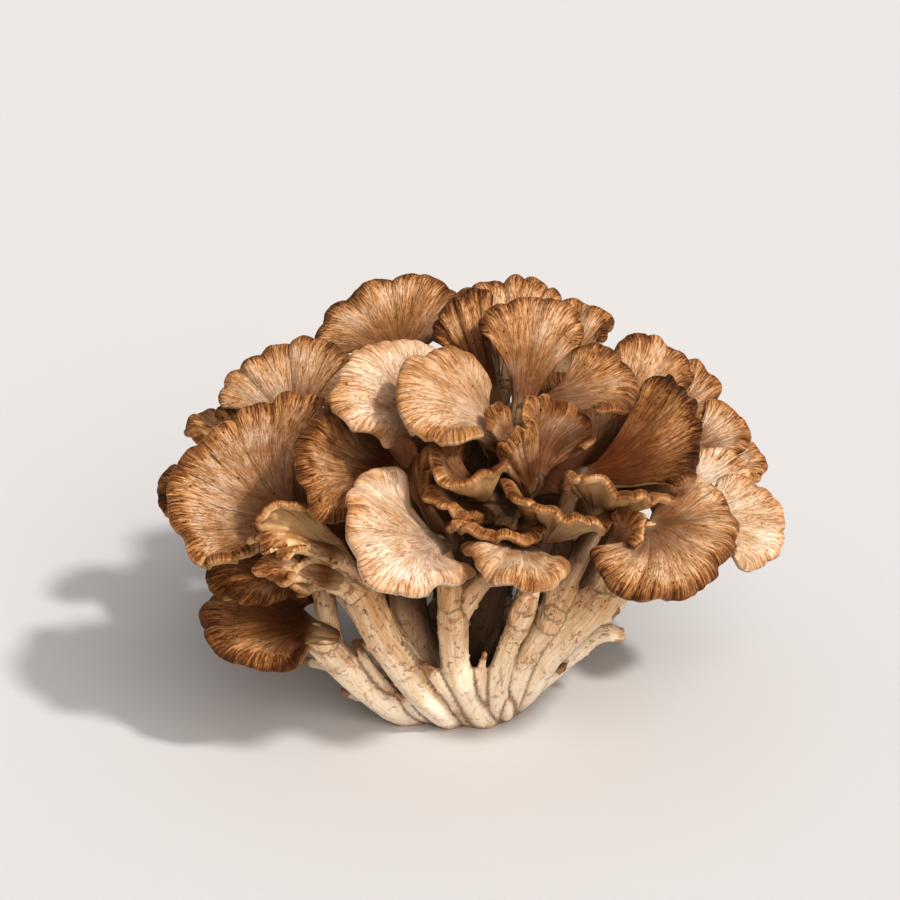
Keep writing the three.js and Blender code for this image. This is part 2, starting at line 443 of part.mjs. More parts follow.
// A closed blade: the mid-surface with its thickness, split alike on both faces. The grow argument
// swells it on every side, for the room it needs in its neighbours.
function frondSolid(frond, grow = 0) {
  const columns = [0];
  for (let k = 0; k < frond.lobes; k += 1) {
    columns.push((lobeBorder(k, frond) + lobeBorder(k + 1, frond)) / 2, lobeBorder(k + 1, frond));
  }
  const rows = frond.lobes > 8 ? [0.3, 0.58, 0.82, 1] : [0.36, 0.74, 1];
  const grid = [...NECK_COLUMNS.map((t) => [0, t]), ...rows.flatMap((s) => columns.map((t) => [s, t]))];
  const faces = [1, -1].map((side) => grid.map(([s, t]) => {
    const thickness = LIP_THICKNESS + (NECK_THICKNESS - LIP_THICKNESS) * (1 - s) ** 2;
    const point = frondPoint(s, t, frond);
    point.addScaledVector(fanNormal(s, t, frond), side * (thickness / 2 + grow));
    if (s === 0) point.addScaledVector(frond.outward, NECK_CLEARANCE - grow);
    return point.addScaledVector(edgeDirection(s, t, frond), grow);
  }));

  // The upper face: a fan of triangles from the neck, then quads out to the rim.
  const width = columns.length;
  const first = NECK_COLUMNS.length;
  const upper = [];
  let neck = 0;
  for (let j = 0; j < width - 1; j += 1) {
    upper.push([neck, first + j + 1, first + j]);
    const next = Math.round(((j + 1) * (first - 1)) / (width - 1));
    if (next > neck) upper.push([neck, next, first + j + 1]);
    neck = next;
  }
  for (let i = 0; i < rows.length - 1; i += 1) {
    for (let j = 0; j < width - 1; j += 1) {
      const a = first + i * width + j;
      upper.push([a, a + 1, a + width + 1], [a, a + width + 1, a + width]);
    }
  }

  // The edge all round, walked with the upper face on its left.
  const left = rows.map((_, i) => first + i * width);
  const right = left.map((a) => a + width - 1);
  const rimEdge = columns.map((_, j) => left[rows.length - 1] + j).reverse();
  const edge = [0, 1, 2, ...right.slice(0, -1), ...rimEdge, ...left.slice(0, -1).reverse()];

  const layer = grid.length;
  const triangles = upper.flat();
  for (const [a, b, c] of upper) triangles.push(layer + a, layer + c, layer + b);
  edge.forEach((a, k) => {
    const b = edge[(k + 1) % edge.length];
    triangles.push(b, a, layer + a, b, layer + a, layer + b);
  });
  return toManifold(faces.flat(), triangles);
}

// ---- Butt, stalks and twigs -----------------------------------------------------------------
// A tapered round stalk along a curve.
function stalkSolid(curve, radii, sides, rings, grow = 0) {
  const frames = curve.computeFrenetFrames(rings, false);
  const points = [];
  for (let i = 0; i <= rings; i += 1) {
    const share = (i / rings) * (radii.length - 1);
    const k = Math.min(radii.length - 2, Math.floor(share));
    const radius = THREE.MathUtils.lerp(radii[k], radii[k + 1], share - k) + grow;
    const centre = curve.getPointAt(i / rings);
    const end = i === 0 ? -grow : i === rings ? grow : 0;
    centre.addScaledVector(frames.tangents[i], end);
    for (let j = 0; j < sides; j += 1) {
      const angle = (2 * Math.PI * j) / sides;
      points.push(centre.clone()
        .addScaledVector(frames.normals[i], radius * Math.cos(angle))
        .addScaledVector(frames.binormals[i], radius * Math.sin(angle)));
    }
  }
  const triangles = [];
  for (let i = 0; i < rings; i += 1) {
    for (let j = 0; j < sides; j += 1) {
      const a = i * sides + j;
      const b = i * sides + ((j + 1) % sides);
      triangles.push(a, b, b + sides, a, b + sides, a + sides);
    }
  }
  const top = rings * sides;
  for (let j = 1; j < sides - 1; j += 1) {
    triangles.push(0, j + 1, j, top, top + j, top + j + 1);
  }
  return toManifold(points, triangles);
}

const smoothRoute = (path) => new THREE.CatmullRomCurve3(path.map(vec), false, 'centripetal');

// The twig from its stalk's fork to a frond's neck, leaving along the stalk and arriving along the
// frond. The lowest fronds' twigs leave the butt itself.
function twigRoute(frond) {
  const route = frond.stem ? stalks[frond.stem].path.map(vec) : frond.foot.map(vec);
  const [before, tip] = route.slice(-2);
  const leave = tip.clone().sub(before).normalize();
  const start = tip.clone().addScaledVector(leave, -TWIG_RUN_BACK);
  const straight = frond.neckPoint.clone().sub(start);
  const handle = straight.length() / 3;
  straight.normalize();
  leave.lerp(straight, TWIG_EASE).normalize();
  const arrive = frond.outward.clone().lerp(straight, TWIG_EASE).normalize();
  return new THREE.CubicBezierCurve3(
    start,
    start.clone().addScaledVector(leave, handle),
    frond.neckPoint.clone().addScaledVector(arrive, -handle),
    frond.neckPoint,
  );
}

// The solid heart of the butt, inside the ring of stalks.
function buttSolid(grow = 0) {
  const r = BUTT_RADIUS + grow;
  const profile = [[0, -4], [0.86 * r, -4], [r, 4], [0.94 * r, 10], [0.6 * r, 20], [0, BUTT_HEIGHT + grow]];
  const lathe = new THREE.LatheGeometry(profile.map(([x, y]) => new THREE.Vector2(x, y)), 14);
  lathe.rotateX(Math.PI / 2);
  return fromGeometry(lathe);
}

function baseSolid(all, grow = 0) {
  let base = buttSolid(grow);
  for (const { path, radii } of Object.values(stalks)) {
    base = base.add(stalkSolid(smoothRoute(path), radii, 6, 4, grow));
  }
  for (const frond of all) {
    const twig = twigRoute(frond);
    const rings = Math.min(3, Math.ceil(twig.getLength() / TWIG_RING_STEP));
    base = base.add(stalkSolid(twig, TWIG_RADII, 5, rings, grow));
  }
  for (const { path, radii } of [...stubs, ...rearStubs()]) {
    base = base.add(stalkSolid(smoothRoute(path), radii, 5, 2, grow));
  }
  return base;
}

// Blunt shoots round the far side of the butt, drawn by a seeded rule.
function rearStubs() {
  return [15, 48, 80, 104, 135, 172].map((bearing, k) => {
    const angle = THREE.MathUtils.degToRad(bearing);
    const out = 34 + 8 * chance(k, 5);
    const rise = 9 + 14 * chance(k, 6);
    const at = (radius, z) => [radius * Math.cos(angle), radius * Math.sin(angle), z];
    return { path: [at(14, 3), at(0.7 * out, 0.55 * rise), at(out, rise)], radii: [4.2, 3.4, 2.6] };
  });
}

// What lies under the cut face, taken off the base so that it stands flat.
function groundSolid() {
  const slab = new THREE.BoxGeometry(200, 200, 40);
  slab.translate(0, 0, -20);
  return fromGeometry(slab);
}

// ---- The cluster ----------------------------------------------------------------------------
const materials = {
  stalk: new THREE.MeshStandardMaterial({ color: 0xd9bd93, roughness: 0.75, metalness: 0 }),
  tan_frond: new THREE.MeshStandardMaterial({ color: 0xb98556, roughness: 0.7, metalness: 0 }),
  pale_frond: new THREE.MeshStandardMaterial({ color: 0xdcb48c, roughness: 0.7, metalness: 0 }),
  dark_frond: new THREE.MeshStandardMaterial({ color: 0x8d5c34, roughness: 0.7, metalness: 0 }),
};
const PALE = ['left_pale', 'centre_pale', 'front_pale', 'right_pale', 'right_pale_up', 'front_low'];
const DARK = ['left_dark', 'bottom_left', 'right_dark', 'back_centre', 'left_centre', 'left_edge_low'];

function frondMaterial(name) {
  if (PALE.includes(name)) return materials.pale_frond;
  return DARK.includes(name) ? materials.dark_frond : materials.tan_frond;
}

function named(name, solid, material) {
  const mesh = new THREE.Mesh(toGeometry(solid), material);
  mesh.name = name;
  return mesh;
}

function build() {
  const cluster = new THREE.Group();
  const all = [...fronds, ...rearFronds()].map(prepareFrond);
  cluster.add(named('base', largestBody(baseSolid(all).subtract(groundSolid())), materials.stalk));

  // A frond gives way to the base and to every frond placed before it, so the first stay whole.
  // A five-sided tube needs a little more than the gap at its corners to clear its flats by the gap.
  const roomForBase = baseSolid(all, GAP / Math.cos(Math.PI / 5));
  const placed = [];
  for (const frond of all) {
    let solid = frondSolid(frond).subtract(roomForBase);
    for (const room of placed) solid = solid.subtract(room);
    cluster.add(named(frond.name, largestBody(solid), frondMaterial(frond.name)));
    placed.push(frondSolid(frond, GAP).add(frondSolid(frond)));
  }
  return cluster;
}

export default build();
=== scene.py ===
"""Maitake cluster: ruffled, fan-shaped fronds on pale branching stalks that rise from one cut butt.

Lengths are millimetres until a mesh is finished, and metres from there on.
"""

import math
from contextlib import contextmanager

import bmesh
import bpy
import numpy as np
from mathutils.kdtree import KDTree
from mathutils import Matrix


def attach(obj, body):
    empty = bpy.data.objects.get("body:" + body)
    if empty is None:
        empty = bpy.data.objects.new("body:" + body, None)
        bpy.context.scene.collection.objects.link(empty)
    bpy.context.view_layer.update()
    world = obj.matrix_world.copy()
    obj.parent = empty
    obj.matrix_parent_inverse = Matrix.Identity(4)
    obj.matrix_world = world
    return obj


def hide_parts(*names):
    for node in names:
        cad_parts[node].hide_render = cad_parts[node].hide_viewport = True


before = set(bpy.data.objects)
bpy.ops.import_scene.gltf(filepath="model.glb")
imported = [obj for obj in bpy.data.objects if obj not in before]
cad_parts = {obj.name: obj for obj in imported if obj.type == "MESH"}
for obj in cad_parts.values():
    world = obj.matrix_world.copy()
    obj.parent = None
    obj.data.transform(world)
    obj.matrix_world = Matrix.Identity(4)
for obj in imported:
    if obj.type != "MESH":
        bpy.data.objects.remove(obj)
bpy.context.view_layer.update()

# ---- Sizes ----
MM = 0.001
FROND_HALF = 0.9  # half the thickness of a frond's blade
LIP_SWELL = 0.5  # how much its rolled rim adds to that
BLADE_ROWS, BLADE_COLUMNS = 30, 110
NECK_HALF = 3.0  # half the thickness of its neck
NECK_WIDTH = 6.2
NECK_BACK = 6.0  # how far a neck runs back inside its twig
STALK_SIDES = 26
STALK_STEP = 2.0
STALK_END = 1.7  # how far a stalk's cap stands out, in radii
STUB_END = 0.5
CLEFT_SHADE_WIDTH = 1.3
CLEFT_SHADE_FADE = (24, 36)  # the heights between which the painted shade in clefts fades out
NEAR_SAMPLES = 14
TWIG_RADII = [3.9, 3.3, 3.0, 2.9]
TWIG_EASE = 0.5  # how much a twig leans straight for its neck
TWIG_RUN_BACK = 3.2  # how far a twig starts back inside its stalk
BUTT_RADIUS = 21
BUTT_HEIGHT = 30
BUTT_SIDES = 48
FOOT_START = 13  # how far from the middle the lowest twigs start
REAR_STRETCH = [1.08, 0.93]  # the far side's tiers along X and Y
FUSE_VOXEL = 0.85
FULL_REACH = 34  # fronds whose rims are nearer to their necks have finer wrinkles
MERGE = 2e-6  # metres within which points of a sheet are one
FROND_DEFAULTS = dict(lobes=6, belly=0.0, lip=0.05, cut=0.05, wave=0.03, waves=3, widen=0.5)

# ---- Placing ----
# A frond has the stalk it grows from, its neck and points along its rim, which run clockwise for whoever
# sees its brown face. Its notches are places along the rim, 0 to 1, each with a depth.
FRONDS = [
  dict(name="left_shell", stem="left_upper", neck=[-46, -30, 64], belly=-0.1, lip=0.04,
    notches=[[0.06, 0.3], [0.11, 0.7], [0.18, 0.8], [0.28, 0.5], [0.4, 0.3], [0.49, 0.5],
      [0.58, 1], [0.7, 0.7], [0.84, 1.8], [0.94, 0.4]],
    rim=[[-58, -54, 73], [-65, -62, 73], [-74, -60, 73], [-80, -50, 80], [-77, -40, 90],
      [-65, -32, 98], [-52, -28, 102], [-40, -24, 101]]),
  dict(name="left_centre", stem="inner_left", neck=[-19, -34, 80], belly=-0.12, lip=0.06,
    notches=[[0.06, 0.4], [0.15, 0.6], [0.2, 1.1], [0.25, 0.4], [0.31, 0.3], [0.37, 0.5],
      [0.44, 0.3], [0.56, 0.4]],
    rim=[[-32, -58, 81], [-40, -62, 84], [-45, -58, 94], [-45, -52, 99], [-41, -44, 103],
      [-37, -36, 105], [-29, -18, 98], [-21, -14, 91]]),
  dict(name="left_pale", stem="inner_left", neck=[-13, -22, 87], belly=0.08, lip=0.08,
    notches=[[0.09, 0.5], [0.21, 0.6], [0.29, 0.4], [0.36, 0.9], [0.48, 0.5], [0.61, 0.6],
      [0.78, 0.4]],
    rim=[[-21, -42, 95], [-28, -48, 102], [-34, -48, 107], [-34, -40, 113], [-30, -28, 116],
      [-19, -15, 114], [-9, -8, 110]]),
  dict(name="centre_pale", stem="inner_middle", neck=[5, -34, 90], belly=0.14, lip=0.06,
    notches=[[0.16, 0.6], [0.21, 0.5], [0.27, 1], [0.36, 0.4], [0.43, 0.6], [0.53, 0.5],
      [0.61, 1]],
    rim=[[2, -57, 104], [-5, -62, 105], [-12, -60, 106], [-19, -56, 110], [-19, -46, 116],
      [-14, -38, 118], [-7, -30, 117], [1, -26, 112], [4, -27, 103]]),
  dict(name="tall_fan", stem="inner_middle", neck=[13, -20, 94], belly=0.02, cut=0.03,
    widen=0.8,
    rim=[[3, -8, 113], [3, -4, 118], [10, 0, 121], [20, 0, 122], [28, -3, 120], [30, -6, 116],
      [28, -10, 110]]),
  dict(name="right_lobe", stem="inner_middle", neck=[18, -20, 95], belly=0.08,
    notches=[[0.2, 0.5], [0.33, 0.7], [0.46, 0.4], [0.6, 0.8]],
    rim=[[27, -10, 109], [35, -10, 111], [41, -12, 108], [45, -20, 102], [39, -34, 101], [33, -38, 104]]),
  dict(name="back_left", stem="crown", neck=[-20, 20, 92],
    notches=[[0.18, 0.5], [0.3, 0.8], [0.5, 0.8], [0.6, 0.4], [0.73, 0.6]],
    rim=[[-44, 27, 92], [-47, 34, 97], [-45, 38, 104], [-36, 40, 111], [-26, 42, 114], [-16, 40, 117],
      [-7, 36, 114], [-1, 26, 108], [1, 22, 100]]),
  dict(name="left_back", stem="side_left", neck=[-49, -4, 79],
    notches=[[0.14, 0.5], [0.26, 0.7], [0.39, 0.6], [0.59, 0.8], [0.72, 0.4]],
    rim=[[-72, 12, 84], [-74, 15, 89], [-66, 17, 97], [-57, 17, 102], [-45, 14, 105], [-34, 6, 102]]),
  dict(name="left_edge_mid", stem="side_left", neck=[-61, 8, 73], lobes=2,
    rim=[[-75, 14, 80], [-75, 16, 82], [-71, 17, 84], [-65, 16, 84]]),
  dict(name="left_edge_high", stem="side_left", neck=[-66, 12, 69], lobes=3, belly=0.05,
    rim=[[-78, 6, 75], [-84, 12, 77], [-83, 22, 78], [-76, 30, 76]]),
  dict(name="left_edge_low", stem="side_left", neck=[-68, -18, 61], lobes=3,
    rim=[[-82, -34, 67], [-87, -24, 73], [-86, -16, 76], [-81, -10, 76]]),
  dict(name="back_centre", stem="inner_middle", neck=[5, 0, 91], lobes=3, belly=0.1, cut=0.07, wave=0.05,
    rim=[[-12, 8, 107], [-10, 12, 113], [-6, 12, 117], [-1, 12, 120], [6, 12, 120]]),
  dict(name="top_back", stem="crown", neck=[10, 24, 90], lobes=5,
    rim=[[-7, 40, 108], [-1, 46, 111], [8, 48, 112], [17, 48, 113], [25, 46, 111], [26, 40, 106]]),
  dict(name="back_right_small", stem="crown", neck=[26, 18, 93], lobes=3,
    rim=[[26, 32, 110], [30, 34, 110], [37, 29, 109], [41, 26, 107], [37, 20, 103]]),
  dict(name="right_back", stem="inner_right", neck=[40, 0, 77], lobes=5,
    rim=[[41, 14, 101], [45, 16, 105], [53, 20, 104], [59, 20, 101], [62, 15, 97], [62, 8, 93]]),
  dict(name="right_dark", stem="front_right", neck=[29, -22, 75], belly=-0.08, lip=0.02,
    notches=[[0.22, 0.7], [0.31, 0.5], [0.41, 1], [0.56, 0.5], [0.73, 0.8], [0.91, 0.4]],
    rim=[[49, -6, 98], [53, -8, 102], [60, -12, 98], [63, -20, 89], [60, -32, 84], [55, -42, 83]]),
  dict(name="right_tongue", stem="front_right", neck=[35, -30, 69], lobes=5, belly=-0.05,
    rim=[[52, -52, 86], [46, -60, 87], [42, -62, 90], [35, -60, 91], [29, -58, 94], [24, -54, 92],
      [23, -48, 86]]),
  dict(name="right_front", stem="right_big", neck=[46, -42, 68], belly=0.1, widen=0.15,
    notches=[[0.22, 0.4], [0.28, 0.5], [0.4, 1.1], [0.55, 1.2], [0.65, 1], [0.73, 1.9],
      [0.82, 2.2], [0.89, 0.5], [0.96, 0.3]],
    rim=[[42, -17, 71], [51, -16, 71], [61, -16, 71], [69, -18, 72], [73, -26, 67], [72, -38, 65],
      [65, -58, 65], [55, -70, 63], [45, -76, 64], [36, -74, 67], [32, -68, 70], [30, -58, 71]]),
  dict(name="right_pale", stem="right_big", neck=[58, -16, 60], belly=0.02,
    notches=[[0.25, 0.4], [0.33, 0.6], [0.43, 0.4], [0.51, 0.5], [0.59, 0.5], [0.71, 0.7],
      [0.82, 0.4]],
    rim=[[70, -4, 68], [77, -6, 70], [84, -9, 67], [89, -12, 61], [89, -15, 56], [86, -20, 51],
      [79, -27, 51], [73, -32, 57]]),
  dict(name="right_pale_up", stem="side_right", neck=[62, -8, 66], lobes=3, belly=0.02,
    rim=[[65, 2, 75], [72, 2, 75], [78, 0, 72], [80, -4, 68]]),
  dict(name="right_stack_1", stem="inner_right", neck=[56, 12, 79], lobes=3,
    rim=[[61, 18, 94], [65, 20, 96], [70, 20, 92], [73, 18, 89], [69, 13, 84], [66, 10, 81]]),
  dict(name="right_stack_2", stem="inner_right", neck=[62, 4, 73], lobes=3,
    rim=[[68, 13, 86], [72, 12, 86], [78, 11, 82], [81, 8, 78], [79, 3, 76], [76, 2, 73]]),
  dict(name="right_stack_3", stem="side_right", neck=[66, 5, 65], lobes=3,
    rim=[[80, 15, 73], [84, 14, 71], [86, 9, 68], [84, 4, 66], [79, 1, 67]]),
  dict(name="front_pale", stem="front_main", neck=[-10, -48, 67], belly=0.08,
    notches=[[0.15, 0.4], [0.25, 0.7], [0.34, 0.6], [0.41, 0.6], [0.57, 1.2], [0.65, 0.7],
      [0.74, 0.4], [0.83, 0.3], [0.9, 0.4]],
    rim=[[1, -62, 67], [-5, -72, 70], [-16, -82, 70], [-24, -82, 73], [-29, -80, 79], [-33, -74, 83],
      [-32, -68, 89], [-29, -56, 91], [-23, -48, 90], [-20, -42, 84]]),
  dict(name="front_low", stem="front_main", neck=[10, -44, 64], belly=0.08, lip=0.04,
    notches=[[0.11, 0.3], [0.28, 0.7], [0.41, 0.4], [0.53, 0.3], [0.64, 0.5], [0.77, 0.3]],
    rim=[[22, -56, 68], [24, -66, 69], [19, -77, 71], [13, -83, 72], [6, -80, 74], [0, -70, 75],
      [-3, -58, 73]]),
  dict(name="front_mid", stem="inner_middle", neck=[7, -35, 65], belly=-0.05,
    rim=[[19, -50, 74], [14, -60, 76], [6, -66, 79], [-1, -64, 81], [-7, -57, 79], [-8, -50, 74]]),
  dict(name="wavy_rim", stem="front_thin", neck=[20, -30, 63], belly=-0.05,
    rim=[[38, -46, 77], [32, -57, 79], [24, -63, 85], [18, -63, 86], [14, -60, 87], [11, -54, 88],
      [7, -48, 88]]),
  dict(name="cup", stem="inner_middle", neck=[3, -36, 78], belly=-0.08,
    rim=[[7, -50, 93], [2, -58, 94], [-4, -62, 93], [-10, -60, 95], [-11, -54, 97], [-8, -44, 96],
      [-2, -36, 93]]),
  dict(name="cup_low", stem="inner_middle", neck=[3, -38, 72], lobes=4, belly=-0.05,
    rim=[[2, -54, 77], [-3, -59, 82], [-8, -60, 85], [-12, -57, 88], [-11, -47, 85]]),
  dict(name="fork_left", stem="inner_middle", neck=[14, -32, 78], lobes=4,
    rim=[[7, -46, 89], [8, -50, 96], [12, -50, 100], [15, -46, 99], [17, -40, 102]]),
  dict(name="fork_right", stem="inner_middle", neck=[16, -30, 78], lobes=5, belly=-0.08,
    rim=[[15, -42, 98], [15, -40, 104], [17, -36, 106], [23, -31, 102], [29, -27, 98], [33, -25, 91],
      [30, -32, 89]]),
  dict(name="small_blade", stem="inner_middle", neck=[9, -40, 93], lobes=2,
    rim=[[3, -46, 100], [3, -46, 105], [6, -45, 107], [8, -41, 103]]),
  dict(name="upright_blade", stem="front_main", neck=[-7, -38, 63], lobes=4, belly=0.05,
    rim=[[-20, -33, 79], [-17, -40, 89], [-14, -47, 94], [-14, -51, 90], [-13, -51, 80]]),
  dict(name="inner_curl", stem="right_big", neck=[39, -42, 66], lobes=3, belly=0.05,
    rim=[[36, -52, 78], [39, -55, 80], [43, -58, 79], [43, -59, 76], [41, -61, 73]]),
  dict(name="left_fold", stem="left_upper", neck=[-38, -45, 65], lobes=3, belly=0.08, lip=0.03,
    widen=0.8, rim=[[-40, -50, 78], [-46, -56, 83], [-51, -60, 85], [-56, -63, 84],
      [-57, -64, 81], [-56, -63, 77]]),
  dict(name="left_fold_low", stem="left_upper", neck=[-38, -48, 64], lobes=3, belly=0.06, wave=0.05,
    rim=[[-46, -63, 74], [-48, -66, 74], [-51, -68, 76], [-53, -69, 78], [-56, -68, 79],
      [-57, -66, 80]]),
  dict(name="left_curl", stem="left_upper", neck=[-35, -46, 55], lobes=4, belly=0.06, cut=0.08,
    widen=0.7, rim=[[-37, -50, 64], [-41, -54, 68], [-45, -58, 69], [-48, -61, 67],
      [-49, -62, 65], [-48, -61, 60], [-45, -56, 58]]),
  dict(name="left_dark", stem="left_low", neck=[-45, -28, 52], belly=0.02,
    notches=[[0.18, 0.6], [0.33, 1.2], [0.42, 0.6], [0.52, 0.5], [0.62, 1]],
    rim=[[-51, -44, 50], [-57, -50, 52], [-64, -53, 54], [-70, -51, 57], [-72, -44, 61],
      [-70, -38, 62], [-63, -30, 61]]),
  dict(name="bottom_left", stem="left_low", neck=[-43, -38, 36], belly=0.05, cut=0.08,
    widen=0.36,
    notches=[[0.09, 0.3], [0.17, 0.3], [0.23, 1.9], [0.29, 0.4], [0.37, 0.5], [0.45, 0.4],
      [0.56, 0.3], [0.68, 0.5]],
    rim=[[-45, -50, 39], [-51, -58, 36], [-58, -60, 37], [-66, -58, 38], [-72, -52, 42],
      [-75, -42, 45], [-71, -32, 46], [-58, -22, 42], [-42, -23, 40]]),
  dict(name="heart_left", stem="crown", neck=[-14, 0, 66], lobes=2, widen=0.3,
    rim=[[-40, -8, 76], [-38, -4, 87], [-34, 0, 94], [-24, 4, 98], [-10, 5, 97], [3, 5, 90]]),
  dict(name="heart_right", stem="inner_right", neck=[31, -5, 62], lobes=2, widen=0.25,
    rim=[[11, -6, 60], [9, -4, 74], [10, 0, 90], [18, 3, 97], [30, 2, 98], [40, -3, 93],
      [45, -7, 86]]),
  dict(name="heart_side", stem="inner_right", neck=[45, -12, 64], lobes=2,
    rim=[[43, -5, 80], [51, -3, 82], [59, -7, 81], [62, -13, 77]]),
  dict(name="heart_low", stem="crown", neck=[-6, -6, 52], lobes=2,
    rim=[[-26, -12, 62], [-21, -9, 72], [-10, -8, 77], [0, -8, 75]]),
  dict(name="heart_far_left", stem="side_left", neck=[-39, -10, 48], lobes=2, widen=0.3,
    rim=[[-58, -16, 66], [-57, -14, 80], [-48, -11, 91], [-35, -11, 91], [-26, -14, 80]]),
  dict(name="left_curl_leaf", stem="left_upper", neck=[-38, -50, 58], lobes=3, belly=0.05, wave=0.05,
    rim=[[-48, -62, 66], [-51, -66, 67], [-54, -67, 68], [-56, -66, 70], [-54, -62, 72],
      [-50, -59, 71]]),
]

# Each stalk's route and its radii, from the butt up; stubs are the same, without a name.
STALKS = {
  "left_low": ([[-16, -19, -1], [-24, -26, 8], [-33, -31, 19], [-40, -35, 29]], [5.2, 5.2, 5, 4.6]),
  "left_upper": ([[-4, -20, -1], [-10, -29, 8], [-16, -36, 20], [-25, -42, 38], [-30, -44, 50]],
                 [4.6, 4.8, 5.2, 5.4, 5.4]),
  "front_main": ([[4, -21, -1], [-1, -30, 11], [-5, -38, 26], [-6, -44, 45]], [4.8, 4.4, 4.2, 4.4]),
  "front_thin": ([[7, -19, -1], [6, -30, 13], [8, -37, 26], [14, -41, 46]], [3.6, 3.1, 2.9, 3.2]),
  "front_right": ([[9, -16, -1], [11, -26, 11], [14, -32, 24], [22, -36, 42]], [3.8, 3.3, 3.1, 3.4]),
  "right_big": ([[10, -12, -1], [15, -22, 10], [21, -30, 25], [35, -37, 46]], [4.6, 4.2, 4.4, 5.4]),
  "inner_left": ([[-8, -10, -1], [-13, -24, 20], [-18, -28, 38], [-19, -25, 53]], [5, 4.8, 5.2, 5]),
  "inner_middle": ([[0, -6, -1], [2, -21, 26], [5, -24, 44], [8, -14, 64]], [6, 5.2, 5, 5]),
  "inner_right": ([[6, -2, -1], [22, -8, 26], [36, -6, 47], [39, -4, 60]], [6, 5.4, 5, 4.4]),
  "side_left": ([[-14, 4, -1], [-32, 5, 22], [-46, 3, 44]], [6, 5.2, 4.4]),
  "side_right": ([[14, 3, -1], [36, 4, 21], [52, 4, 40]], [6, 5.2, 4.4]),
  "rear_left": ([[-10, 13, -1], [-24, 27, 21], [-32, 34, 40]], [6, 5.2, 4.4]),
  "rear_middle": ([[0, 16, -1], [2, 32, 22], [2, 40, 42]], [6, 5.2, 4.4]),
  "rear_right": ([[11, 13, -1], [27, 27, 21], [36, 34, 40]], [6, 5.2, 4.4]),
  "crown": ([[0, 4, -1], [0, 9, 34], [0, 12, 58]], [9, 8, 6]),
}

STUBS = [
  ([[-4, -24, 2], [-13, -37, 20], [-20, -44, 36]], [3, 2.4, 1]),
  ([[0, -25, 2], [-7, -36, 17], [-13, -42, 28]], [3, 2.3, 1.4]),
  ([[4, -24, 4], [2, -35, 18], [3, -40, 31]], [2.4, 1.8, 1]),
  ([[-14, -18, 2], [-25, -30, 15], [-32, -37, 31]], [3, 2.2, 1.1]),
  ([[9, -19, 0], [10, -27, 6], [10, -30, 14]], [3, 2.2, 1]),
  ([[-8, -20, 0], [-16, -28, 6], [-21, -32, 14]], [3, 2.2, 1]),
  ([[10, -10, 0], [18, -15, 8], [27, -17, 17], [37, -17, 25], [43, -16, 24]], [4, 3.6, 3.2, 2.8, 2.2]),
  ([[27, -16, 17], [36, -15, 27], [41, -14, 32]], [2.8, 2.3, 1.8]),
  ([[8, -14, 1], [16, -21, 8], [26, -22, 17]], [3.2, 2.6, 1.2]),
  ([[-9, -14, 2], [-26, -20, 5], [-38, -18, 7]], [3.6, 2.8, 1.4]),
  ([[-10, -8, 4], [-28, -14, 9], [-40, -14, 13], [-49, -13, 14]], [3.6, 2.8, 2.3, 1.6]),
]

PALE = ["left_pale", "centre_pale", "front_pale", "right_pale", "right_pale_up", "front_low"]
# Darker fronds: partly their own colour, partly painted shade for the fronds that sit in shade.
DARK_AND_SHADED = ["left_dark", "bottom_left", "right_dark", "back_centre", "left_centre", "left_edge_low"]
# The inner fronds, whose rims are smooth and even in colour.
CALM = ["cup", "cup_low", "front_mid", "wavy_rim", "fork_left", "fork_right", "right_tongue",
        "small_blade", "upright_blade", "inner_curl", "left_fold", "left_fold_low", "left_curl",
        "left_curl_leaf"]
# How pale each frond is among those of its finish, 0 to 1.
USUAL_TONE = 0.45
TONES = dict(centre_pale=0.3, left_pale=0.5, front_pale=0.58, right_pale=0.56, right_pale_up=0.56,
             tall_fan=0.38, right_lobe=0.34, left_back=0.5, back_left=0.38, top_back=0.45,
             left_shell=0.52, left_centre=0.55, bottom_left=0.45, left_dark=0.45, front_low=0.35,
             right_dark=0.3, right_stack_1=0.6, right_stack_2=0.6, right_stack_3=0.6)

# The tiers of the far side: bearing, rim radius and rim height of each frond.
REAR_TIERS = [
    dict(name="rear_high", neck_radius=28, neck_height=82, half_angle=24, tilt=2, droop=8, belly=0.13,
         lip=0.08, places=[(46, 58, 79), (76, 66, 86), (107, 60, 77), (138, 65, 84)]),
    dict(name="rear_middle", neck_radius=45, neck_height=59, half_angle=19, tilt=3, droop=9, belly=0.15,
         lip=0.1, places=[(23, 80, 60), (50, 85, 51), (77, 80, 62), (104, 86, 52), (131, 80, 61),
                          (159, 84, 52)]),
    dict(name="rear_low", neck_radius=38, neck_height=31, half_angle=25, tilt=-3, droop=8, belly=0.16,
         lip=0.1, places=[(31, 67, 36), (68, 76, 37), (110, 73, 40), (154, 73, 34)]),
]
# A middle-tier frond grows on the first of these stalks whose bearing is past its own.
REAR_STALKS = [(27, "side_right"), (75, "rear_right"), (108, "rear_middle"), (152, "rear_left"),
               (180, "side_left")]


